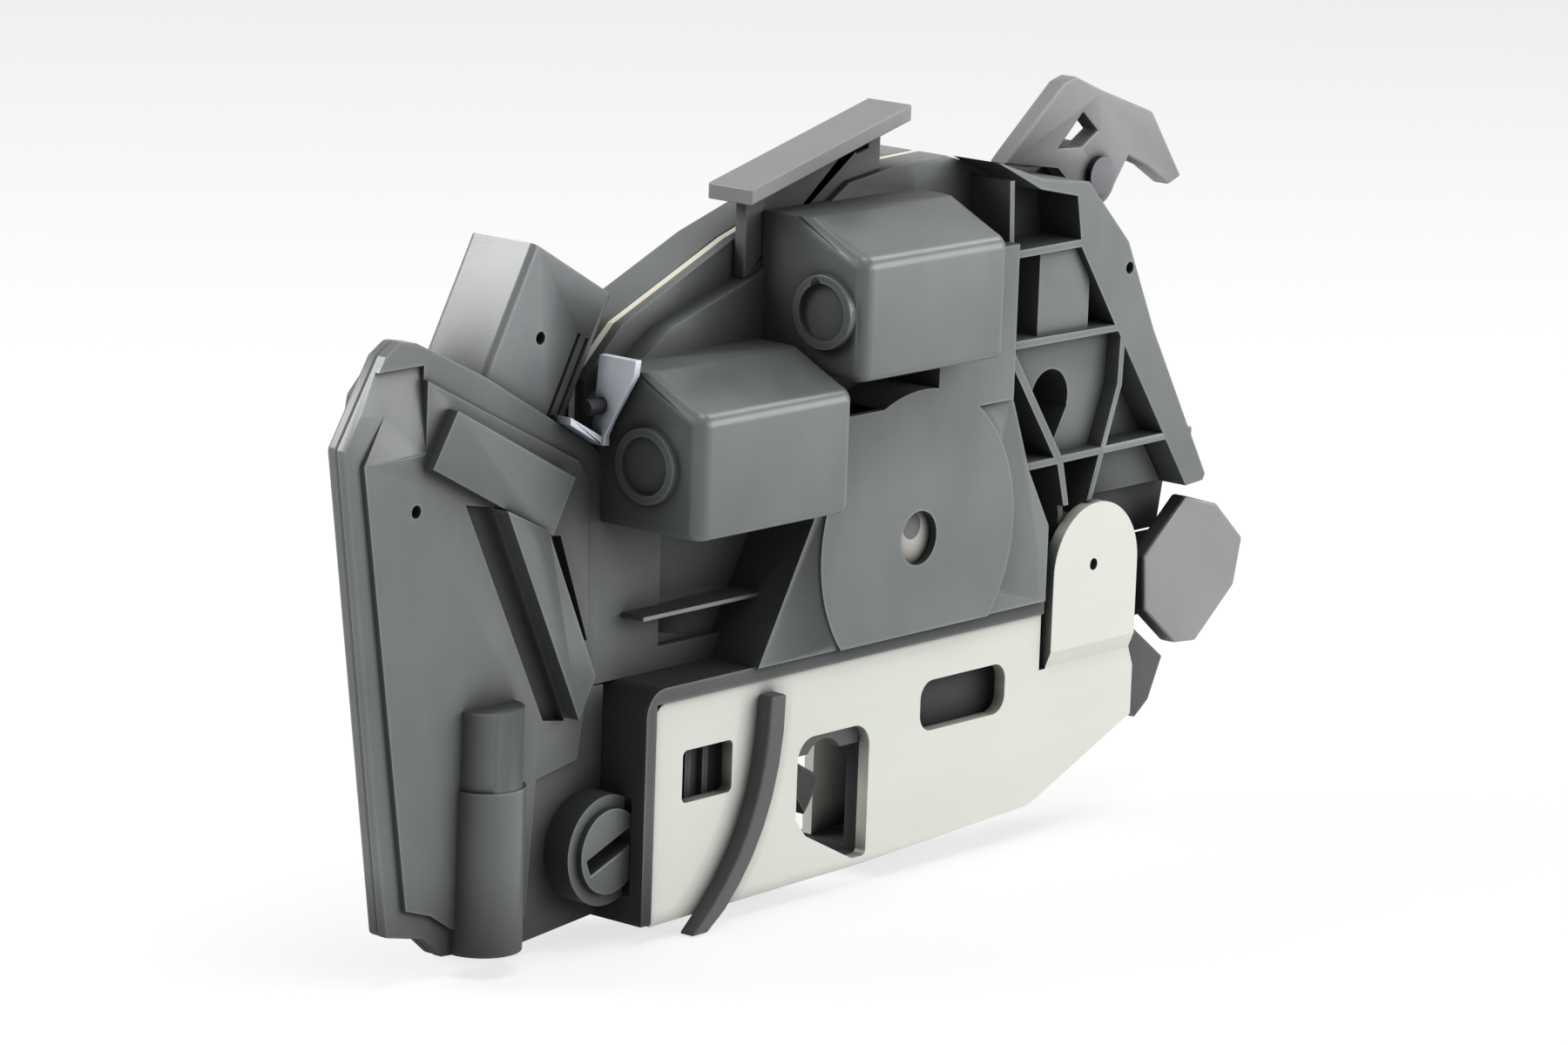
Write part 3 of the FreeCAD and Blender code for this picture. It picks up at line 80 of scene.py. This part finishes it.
# %% [markdown]
# The camera stands to the left of the lock and a little above it, with a long lens, so that
# upright edges stay nearly parallel. One known point ties it down: the lower left corner of
# the latch plate lies at the origin, and the picture shows that corner at one pixel.

# %% Camera
PICTURE = Vector((1800.0, 1200.0))
CORNER_PIXEL = Vector((745.0, 1065.0))
CAMERA_AZIMUTH = math.radians(50.0)
CAMERA_PITCH = math.radians(12.0)
CAMERA_ROLL = math.radians(2.0)
CAMERA_DISTANCE = 1.2
LENS_MM = 150.0
SENSOR_MM = 36.0


def camera_axes():
    """The camera's right, up and backward directions."""
    back = Vector((
        -math.sin(CAMERA_AZIMUTH) * math.cos(CAMERA_PITCH),
        -math.cos(CAMERA_AZIMUTH) * math.cos(CAMERA_PITCH),
        math.sin(CAMERA_PITCH)))
    level = Vector((math.cos(CAMERA_AZIMUTH), -math.sin(CAMERA_AZIMUTH), 0.0))
    upright = back.cross(level)
    right = level * math.cos(CAMERA_ROLL) + upright * math.sin(CAMERA_ROLL)
    up = upright * math.cos(CAMERA_ROLL) - level * math.sin(CAMERA_ROLL)
    return right, up, back


def place_camera():
    right, up, back = camera_axes()
    focal = LENS_MM / SENSOR_MM * PICTURE.x
    offset = (CORNER_PIXEL - PICTURE / 2) / focal
    spot = back * CAMERA_DISTANCE - (right * offset.x - up * offset.y) * CAMERA_DISTANCE
    data = bpy.data.cameras.new("camera")
    data.lens = LENS_MM
    data.sensor_width = SENSOR_MM
    data.clip_end = 20.0
    holder = bpy.data.objects.new("camera", data)
    bpy.context.scene.collection.objects.link(holder)
    turn = Matrix((right, up, back)).transposed()
    holder.matrix_world = Matrix.Translation(spot) @ turn.to_4x4()
    bpy.context.scene.camera = holder
    print("camera at", [round(value, 3) for value in spot])


place_camera()

# %% [markdown]
# A studio for a dark object is mostly white: a pale floor, a pale world, and a few large soft
# lamps. Most light falls from above and in front. One lamp low on the right gives the front
# faces a sheen, one high on the right lights the upper edges, and one behind on the left shines
# in the side of the connector tower. The world is white only where the camera or a reflection
# looks at it, so it doesn't wash out the shadows.

# %% Studio
FLOOR_GAP = 0.0002
FLOOR_SIZE = 3.0
BACKDROP_GREY = 0.95
FLOOR_ROUGHNESS = 0.9
FLOOR_GLOW = 0.72
AMBIENT = 0.20


def link_object(name, mesh):
    made = bpy.data.objects.new(name, mesh)
    bpy.context.scene.collection.objects.link(made)
    return made


def area_lamp(name, spot, target, size, power):
    data = bpy.data.lights.new(name, "AREA")
    data.shape = "RECTANGLE"
    data.size = size[0]
    data.size_y = size[1]
    data.energy = power
    lamp = link_object(name, data)
    direction = Vector(target) - Vector(spot)
    lamp.matrix_world = Matrix.Translation(spot) @ direction.to_track_quat(
        "-Z", "Y").to_matrix().to_4x4()


def make_floor():
    bm = bmesh.new()
    bmesh.ops.create_grid(bm, x_segments=1, y_segments=1, size=FLOOR_SIZE)
    mesh = bpy.data.meshes.new("floor")
    bmesh.ops.translate(bm, verts=bm.verts, vec=(0, 0, CAD_BOX[0][2] - FLOOR_GAP))
    bm.to_mesh(mesh)
    bm.free()
    floor = link_object("floor", mesh)
    return floor


def white_for_the_camera(tree, plain, seen):
    """Mixes a plain shader with a white one that only the camera and reflections see."""
    path = tree.nodes.new("ShaderNodeLightPath")
    camera_or_gloss = tree.nodes.new("ShaderNodeMath")
    camera_or_gloss.operation = "MAXIMUM"
    tree.links.new(path.outputs["Is Camera Ray"], camera_or_gloss.inputs[0])
    tree.links.new(path.outputs["Is Glossy Ray"], camera_or_gloss.inputs[1])
    any_of_three = tree.nodes.new("ShaderNodeMath")
    any_of_three.operation = "MAXIMUM"
    tree.links.new(camera_or_gloss.outputs[0], any_of_three.inputs[0])
    tree.links.new(path.outputs["Is Transmission Ray"], any_of_three.inputs[1])
    mix = tree.nodes.new("ShaderNodeMixShader")
    tree.links.new(any_of_three.outputs[0], mix.inputs[0])
    tree.links.new(plain, mix.inputs[1])
    tree.links.new(seen, mix.inputs[2])
    return mix.outputs[0]


def light_world():
    world = bpy.data.worlds.new("studio")
    bpy.context.scene.world = world
    world.use_nodes = True
    tree = world.node_tree
    tree.nodes.clear()
    plain = tree.nodes.new("ShaderNodeBackground")
    plain.inputs["Color"].default_value = (1, 1, 1, 1)
    plain.inputs["Strength"].default_value = AMBIENT
    seen = tree.nodes.new("ShaderNodeBackground")
    seen.inputs["Color"].default_value = (1, 1, 1, 1)
    seen.inputs["Strength"].default_value = 1.0
    out = tree.nodes.new("ShaderNodeOutputWorld")
    tree.links.new(
        white_for_the_camera(tree, plain.outputs[0], seen.outputs[0]), out.inputs[0])


def floor_finish(floor):
    paint = bpy.data.materials.new("floor_paint")
    paint.use_nodes = True
    tree = paint.node_tree
    shader = tree.nodes["Principled BSDF"]
    shader.inputs["Base Color"].default_value = (BACKDROP_GREY,) * 3 + (1,)
    shader.inputs["Roughness"].default_value = FLOOR_ROUGHNESS
    glow = tree.nodes.new("ShaderNodeEmission")
    glow.inputs["Color"].default_value = (1, 1, 1, 1)
    glow.inputs["Strength"].default_value = 1.0
    blend = tree.nodes.new("ShaderNodeMixShader")
    blend.inputs[0].default_value = FLOOR_GLOW
    tree.links.new(shader.outputs[0], blend.inputs[1])
    tree.links.new(glow.outputs[0], blend.inputs[2])
    out = tree.nodes["Material Output"]
    tree.links.new(
        white_for_the_camera(tree, shader.outputs[0], blend.outputs[0]), out.inputs[0])
    floor.data.materials.append(paint)


CENTRE = Vector((0.05, 0.0, 0.07))
light_world()
floor_finish(make_floor())
LAMPS = {
    "top": ((0.05, -0.25, 1.3), (0.8, 0.6), 7.0),
    "front": ((0.45, -1.2, 0.40), (0.9, 0.7), 7.5),
    "sheen": ((0.95, -0.80, 0.32), (0.7, 0.6), 7.0),
    "edge_light": ((0.95, -0.20, 0.90), (0.4, 0.4), 3.2),
    "tower_light": ((-0.72, 0.75, 0.80), (0.6, 0.6), 13.0),
}
for name, (spot, size, power) in LAMPS.items():
    area_lamp(name, spot, CENTRE, size, power)
bpy.context.scene.view_settings.view_transform = "Standard"
print("studio ready")

# %% [markdown]
# A finish is easier to read as arithmetic than as a list of nodes. The class below wraps a
# socket, so that mask * 0.3 + 0.1 adds the Math nodes by itself, and one method makes any
# other node. Every finish also asks how open a spot is: holes and deep corners are painted
# nearly black, a painted shade that stands in for the shade a dark lock has in soft light.

# %% Shader arithmetic


REACH = 0.024
DEEPEN = 3.0
# The near black colour painted into holes and corners as shade.
PAINTED_SHADE = (0.003, 0.004, 0.004)


class Wire:
    """One value in a material's node tree."""

    def __init__(self, finish, socket):
        self.finish = finish
        self.socket = socket

    def math(self, operation, other, swap=False):
        pair = (other, self) if swap else (self, other)
        return self.finish.node("ShaderNodeMath", {"operation": operation}, *pair)

    def __add__(self, other):
        return self.math("ADD", other)

    def __sub__(self, other):
        return self.math("SUBTRACT", other)

    def __rsub__(self, other):
        return self.math("SUBTRACT", other, swap=True)

    def __mul__(self, other):
        return self.math("MULTIPLY", other)

    def __pow__(self, other):
        return self.math("POWER", other)

    __radd__ = __add__
    __rmul__ = __mul__

    def clamp(self):
        return self.finish.node(
            "ShaderNodeMath", {"operation": "ADD", "use_clamp": True}, self, 0.0)


class Finish:
    """A material under construction, with its Principled shader at hand."""

    def __init__(self, name):
        self.material = bpy.data.materials.new(name)
        self.material.use_nodes = True
        self.tree = self.material.node_tree
        self.shader = self.tree.nodes["Principled BSDF"]
        self.place = self.node("ShaderNodeTexCoord", {}, output="Object")

    def node(self, kind, settings, *values, output=None, **named):
        made = self.tree.nodes.new(kind)
        for key, value in settings.items():
            setattr(made, key, value)
        for index, value in enumerate(values):
            self.feed(made.inputs[index], value)
        for key, value in named.items():
            self.feed(made.inputs[key.replace("_", " ")], value)
        return Wire(self, made.outputs[output] if output else made.outputs[0])

    def feed(self, socket, value):
        if isinstance(value, Wire):
            self.tree.links.new(value.socket, socket)
        else:
            socket.default_value = value

    def noise(self, scale, detail=3.0, stretch=None):
        place = self.place
        if stretch:
            place = self.node("ShaderNodeMapping", {}, place, Scale=stretch)
        return self.node(
            "ShaderNodeTexNoise", {}, Vector=place, Scale=scale, Detail=detail,
            output="Fac")

    def tint(self, mask, low, high):
        """Mixes two colours by a mask."""
        made = self.tree.nodes.new("ShaderNodeMix")
        made.data_type = "RGBA"
        self.feed(made.inputs[0], mask)
        self.feed(made.inputs[6], low if isinstance(low, Wire) else tuple(low) + (1,))
        self.feed(made.inputs[7], high if isinstance(high, Wire) else tuple(high) + (1,))
        return Wire(self, made.outputs[2])

    def painted_shade_mask(self, reach, samples=6):
        """A painted shade mask: 1 on open faces, falling to 0 in holes and corners."""
        air = self.node(
            "ShaderNodeAmbientOcclusion", {"samples": samples}, Distance=reach, output="AO")
        return (air ** DEEPEN).clamp()

    def bump(self, height, distance, strength=1.0):
        return self.node(
            "ShaderNodeBump", {}, Strength=strength, Distance=distance, Height=height,
            output="Normal")

    def set(self, **sockets):
        for key, value in sockets.items():
            self.feed(self.shader.inputs[key.replace("_", " ")], value)
        return self.material


print("shader arithmetic ready")

# %% [markdown]
# The housings are glass filled nylon straight from the tool: dark grey in the light, satin,
# with a fine spark eroded grain. Handling leaves faint pale smears and rubs the outer edges
# paler; a mask of the thin core along each edge paints them paler, partly as this wear and
# partly as a painted highlight. Holes and corners get painted shade.

# %% Moulded plastic


WORN_AND_HIGHLIT_EDGE = 0.0007
RUBBED_AND_HIGHLIT = (0.42, 0.43, 0.43)


def moulded_plastic(name, dark, pale, rough, wear_and_highlight=0.35):
    finish = Finish(name)
    cloud = finish.noise(38.0, 4.0)
    smear = finish.noise(120.0, 2.0, stretch=(1.0, 1.0, 0.35))
    fine = finish.noise(2600.0, 2.0)
    core = finish.node(
        "ShaderNodeAmbientOcclusion", {"samples": 6, "inside": True}, Distance=WORN_AND_HIGHLIT_EDGE,
        output="AO")
    mask = (cloud * 0.65 + smear * 0.35).clamp()
    # Edges are painted paler: partly wear, partly a painted highlight along each edge.
    edge = ((1.0 - core) * wear_and_highlight * (cloud + 0.4)).clamp()
    colour = finish.tint(edge, finish.tint(mask, dark, pale), RUBBED_AND_HIGHLIT)
    # Holes and corners are painted near black here: painted shade.
    shade = finish.painted_shade_mask(REACH)
    return finish.set(
        Base_Color=finish.tint(shade, PAINTED_SHADE, colour),
        Roughness=(rough - 0.08) + cloud * 0.12 + fine * 0.04 + (1.0 - shade) * 0.6,
        Normal=finish.bump(fine * 0.6 + smear * 0.4, 0.00004, 0.5))


BLACK = moulded_plastic("black_nylon", (0.055, 0.064, 0.061), (0.135, 0.150, 0.144), 0.32)
SIDE_BLACK = moulded_plastic("side_nylon", (0.060, 0.068, 0.065), (0.130, 0.142, 0.138), 0.30)
GREY = moulded_plastic("grey_nylon", (0.14, 0.145, 0.143), (0.22, 0.228, 0.224), 0.38)
# A darker copy of the black nylon for the latch carrier and claw jacket: painted shade, so the
# deep latch slot reads dark.
SHADED_SLOT_BLACK = moulded_plastic("slot_nylon", (0.020, 0.022, 0.021), (0.045, 0.048, 0.047), 0.45)
# A paler copy of the black nylon for the connector tower: painted light, so the tower's lit
# side reads bright.
LIT_TOWER = moulded_plastic("tower_nylon", (0.10, 0.108, 0.112), (0.18, 0.190, 0.195), 0.27)
print("plastics:", BLACK.name, SIDE_BLACK.name, GREY.name, LIT_TOWER.name)

# %% [markdown]
# The latch plate is pressed sheet under a pale satin coat. Rolling leaves faint long streaks
# under the coat. Steel and brass parts show fine drawing lines, and the rubbers are dull.
# The sheet and the steel are painted darker in holes and corners as shade.

# %% Sheet metal and small steel parts


def coated_sheet(name, pale, grey, rough):
    finish = Finish(name)
    cloud = finish.noise(30.0, 3.0)
    streak = finish.noise(60.0, 4.0, stretch=(0.25, 1.0, 2.5))
    fine = finish.noise(1800.0, 2.0)
    mask = (cloud * 0.6 + streak * 0.5 - 0.05).clamp()
    # The coat's colour goes near black in holes and corners: painted shade.
    colour = finish.tint(finish.painted_shade_mask(REACH / 4), PAINTED_SHADE, finish.tint(mask, grey, pale))
    return finish.set(
        Base_Color=colour,
        Roughness=rough + cloud * 0.15,
        Coat_Weight=0.15,
        Normal=finish.bump(fine * 0.5 + streak * 0.5, 0.00004, 0.4))


def drawn_steel(name, bright, dull, rough):
    finish = Finish(name)
    line = finish.noise(90.0, 4.0, stretch=(0.3, 8.0, 8.0))
    cloud = finish.noise(45.0, 3.0)
    # The metal's colour goes near black in holes and corners: painted shade.
    shade = finish.painted_shade_mask(REACH)
    colour = finish.tint((cloud * 0.7 + line * 0.3).clamp(), dull, bright)
    return finish.set(
        Base_Color=finish.tint(shade, PAINTED_SHADE, colour),
        Metallic=0.9,
        Roughness=rough + line * 0.14 + (1.0 - shade) * 0.3,
        Normal=finish.bump(line, 0.00004, 0.4))


def soft_rubber(name, dark, pale):
    finish = Finish(name)
    cloud = finish.noise(55.0, 4.0)
    fine = finish.noise(1500.0, 3.0)
    return finish.set(
        Base_Color=finish.tint(cloud, dark, pale),
        Roughness=0.62 + cloud * 0.2,
        Normal=finish.bump(fine, 0.00008, 0.6))


PLATE = coated_sheet("plate_coat", (0.54, 0.56, 0.51), (0.46, 0.48, 0.43), 0.45)
STRIP = coated_sheet("strip_zinc", (0.80, 0.84, 0.90), (0.60, 0.65, 0.72), 0.30)
STEEL = drawn_steel("bright_steel", (0.72, 0.74, 0.76), (0.45, 0.47, 0.50), 0.25)
DARK_STEEL = drawn_steel("dark_steel", (0.20, 0.20, 0.21), (0.09, 0.09, 0.10), 0.35)
BRASS = drawn_steel("brass", (0.80, 0.62, 0.30), (0.55, 0.42, 0.20), 0.28)
RUBBER = soft_rubber("black_rubber", (0.040, 0.042, 0.042), (0.075, 0.078, 0.078))
SEAL = soft_rubber("seal_foam", (0.55, 0.52, 0.42), (0.75, 0.72, 0.62))
WHITE = moulded_plastic("gear_acetal", (0.40, 0.39, 0.35), (0.52, 0.50, 0.46), 0.50)
print("metals and rubbers ready")

# %% [markdown]
# The frame's solids have sharp edges, but a moulded edge is never sharp: its small radius
# catches a thin line of light. Each solid is copied, its loose triangles are merged and flat
# ones joined, and the sharp edges that are long enough get a bevel. Faces that meet at more
# than 20 degrees keep a crease between them, so that flat walls stay evenly shaded.

# %% Round the edges of a node
MERGE = 0.000002
FLAT = math.radians(0.6)
SHARP = math.radians(28.0)
CREASE = math.radians(20.0)
EDGE_ROOM = 2.5
NEIGHBOUR_ROOM = 2.2


def clean_copy(node):
    """A bmesh of a node with merged corners and flat regions joined."""
    bm = bmesh.new()
    bm.from_mesh(NODES[node].data)
    bmesh.ops.remove_doubles(bm, verts=bm.verts, dist=MERGE)
    bmesh.ops.dissolve_limit(
        bm, angle_limit=FLAT, use_dissolve_boundaries=False, verts=bm.verts, edges=bm.edges)
    return bm


def roomy(edge, width):
    """Tells whether an edge is sharp and its neighbours leave room for a bevel."""
    if len(edge.link_faces) != 2 or edge.calc_face_angle(0.0) < SHARP:
        return False
    if edge.calc_length() < width * EDGE_ROOM:
        return False
    return all(
        other.calc_length() > width * NEIGHBOUR_ROOM
        for vert in edge.verts for other in vert.link_edges)


def finish_piece(bm, name, material, body):
    mesh = bpy.data.meshes.new(name)
    bm.to_mesh(mesh)
    bm.free()
    made = link_object(name, mesh)
    mesh.materials.append(material)
    mesh.shade_smooth()
    mesh.set_sharp_from_angle(angle=CREASE)
    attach(made, body)
    return made


def body_of(node):
    return NODES[node].parent.name.split(":", 1)[1]


def round_node(node, width_mm, material, reshape=None):
    bm = clean_copy(node)
    if reshape:
        reshape(bm)
    width = width_mm * MM
    chosen = [edge for edge in bm.edges if roomy(edge, width)]
    bmesh.ops.bevel(
        bm, geom=chosen, offset=width, offset_type="OFFSET", segments=2,
        profile=0.5, affect="EDGES", clamp_overlap=True, material=-1, loop_slide=True)
    made = finish_piece(bm, f"{node}_shape", material, body_of(node))
    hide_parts(node)
    print(node, "bevelled edges:", len(chosen), "faces:", len(made.data.polygons))
    return made


print("rounding ready")

# %% [markdown]
# Two nodes change a little before their edges are rounded. The floor of the front cover gets a
# deep dark pocket under the lower motor cover: its flat faces are cut along the pocket's four
# sides, and what lies inside is pushed back. The rubber strip swells sideways, no lower than
# it was.

# %% Reshape two nodes
POCKET_FLOOR = 10.0 * MM
POCKET_DEPTH = 14.0 * MM
POCKET = [Vector((x * MM, POCKET_FLOOR, z * MM)) for x, z in (
    (11.5, 49.5), (41.0, 49.5), (41.0, 74.0), (11.5, 74.0))]
LEVEL_TOLERANCE = MERGE * 5
CUT_TOLERANCE = 1e-7
STRIP_SWELL = 0.8 * MM


def pocket_sides():
    """A corner and the outward direction of each side of the pocket."""
    middle = sum(POCKET, Vector()) / len(POCKET)
    for start, end in zip(POCKET, POCKET[1:] + POCKET[:1]):
        outward = (end - start).cross(Vector((0, 1, 0)))
        if outward.dot(middle - start) > 0:
            outward.negate()
        yield start, outward


def on_floor(face):
    return all(abs(vert.co.y - POCKET_FLOOR) < LEVEL_TOLERANCE for vert in face.verts)


def in_pocket(face):
    spot = face.calc_center_median()
    return on_floor(face) and all(
        outward.dot(spot - start) <= 0 for start, outward in pocket_sides())


def sink_pocket(bm):
    """Pushes a four sided part of the cover's floor back into the housing."""
    bmesh.ops.triangulate(bm, faces=[face for face in bm.faces if on_floor(face)])
    for start, outward in pocket_sides():
        flat = [face for face in bm.faces if on_floor(face)]
        parts = set(flat)
        for face in flat:
            parts.update(face.edges)
            parts.update(face.verts)
        bmesh.ops.bisect_plane(
            bm, geom=list(parts), dist=CUT_TOLERANCE, plane_co=start, plane_no=outward)
    floor = [face for face in bm.faces if in_pocket(face)]
    grown = bmesh.ops.extrude_face_region(bm, geom=floor)
    bmesh.ops.translate(
        bm, verts=[part for part in grown["geom"] if isinstance(part, bmesh.types.BMVert)],
        vec=(0, POCKET_DEPTH, 0))
    bmesh.ops.delete(bm, geom=floor, context="FACES")
    print("pocket faces:", len(floor))


def swell_strip(bm):
    """Moves each corner outwards in the plate's plane, but no lower than it was."""
    lowest = min(vert.co.z for vert in bm.verts)
    for vert in bm.verts:
        side = Vector((vert.normal.x, 0.0, vert.normal.z))
        vert.co += side * STRIP_SWELL
        vert.co.z = max(vert.co.z, lowest)


RESHAPED = {"front_cover": sink_pocket, "edge_strip": swell_strip}
print("nodes to reshape:", len(RESHAPED))

# %% [markdown]
# Now the outer nodes take their edges and their finish. Thin parts get smaller radii.

# %% Round the outer nodes
ROUNDED = {
    "front_cover": (0.35, BLACK), "rear_cover": (0.6, BLACK), "side_cover": (0.45, SIDE_BLACK),
    "side_case": (0.6, SIDE_BLACK), "connector_shell": (0.4, LIT_TOWER),
    "guide_rail": (0.35, GREY), "release_lever": (0.5, GREY), "backup_knob": (0.6, GREY),
    "latch_carrier": (0.35, SHADED_SLOT_BLACK), "latch_plate": (0.25, PLATE),
    "key_rotor": (0.4, BLACK), "edge_strip": (0.5, RUBBER), "steel_strip": (0.2, STRIP),
}
for node, (width_mm, material) in ROUNDED.items():
    round_node(node, width_mm, material, reshape=RESHAPED.get(node))

# %% [markdown]
# One thin web crosses the dark pocket under the lower motor cover, from the floor of the
# cover to the raised deck, and its front edge shows as a pale line.

# %% Web over the pocket
WEB_BOX = ((1.0, 34.0), (4.5, 10.5), (56.6, 57.5))
WEB_ROUNDING = 0.2 * MM


def make_web():
    bm = bmesh.new()
    bmesh.ops.create_cube(bm, size=1.0)
    sides = [(high - low) * MM for low, high in WEB_BOX]
    middle = [(high + low) / 2 * MM for low, high in WEB_BOX]
    bmesh.ops.scale(bm, verts=bm.verts, vec=sides)
    bmesh.ops.translate(bm, verts=bm.verts, vec=middle)
    bmesh.ops.bevel(
        bm, geom=bm.edges[:], offset=WEB_ROUNDING, segments=2, profile=0.5, affect="EDGES",
        material=-1)
    finish_piece(bm, "pocket_web", GREY, "housing")
    print("web over the pocket made")


make_web()

# %% [markdown]
# The remaining nodes keep their own meshes and get a finish through their material slot.

# %% Finish the other nodes
# The two gear pins get dark steel as painted shade, so the hole in the dome reads dark.
PLAIN = {
    "back_sheet": PLATE, "claw": DARK_STEEL, "claw_jacket": SHADED_SLOT_BLACK, "claw_pin": STEEL,
    "claw_spring": DARK_STEEL, "pawl": DARK_STEEL, "pawl_pin": STEEL,
    "pawl_spring": DARK_STEEL, "circuit_carrier": GREY, "microswitches": BLACK,
    "cover_screws": DARK_STEEL, "deadlock_gear": WHITE, "deadlock_gear_pin": DARK_STEEL,
    "deadlock_motor": STEEL, "deadlock_worm": BRASS, "housing_seal": SEAL,
    "lever_pin": DARK_STEEL, "lock_gear": WHITE, "lock_gear_pin": DARK_STEEL,
    "lock_lever": DARK_STEEL, "lock_motor": STEEL, "lock_worm": BRASS,
    "slot_bumper": RUBBER, "strip_pin": DARK_STEEL, "terminals": BRASS,
}
for node, material in PLAIN.items():
    mesh = NODES[node].data
    mesh.materials.clear()
    mesh.materials.append(material)
print("finished nodes:", len(PLAIN) + len(ROUNDED), "of", len(NODES))
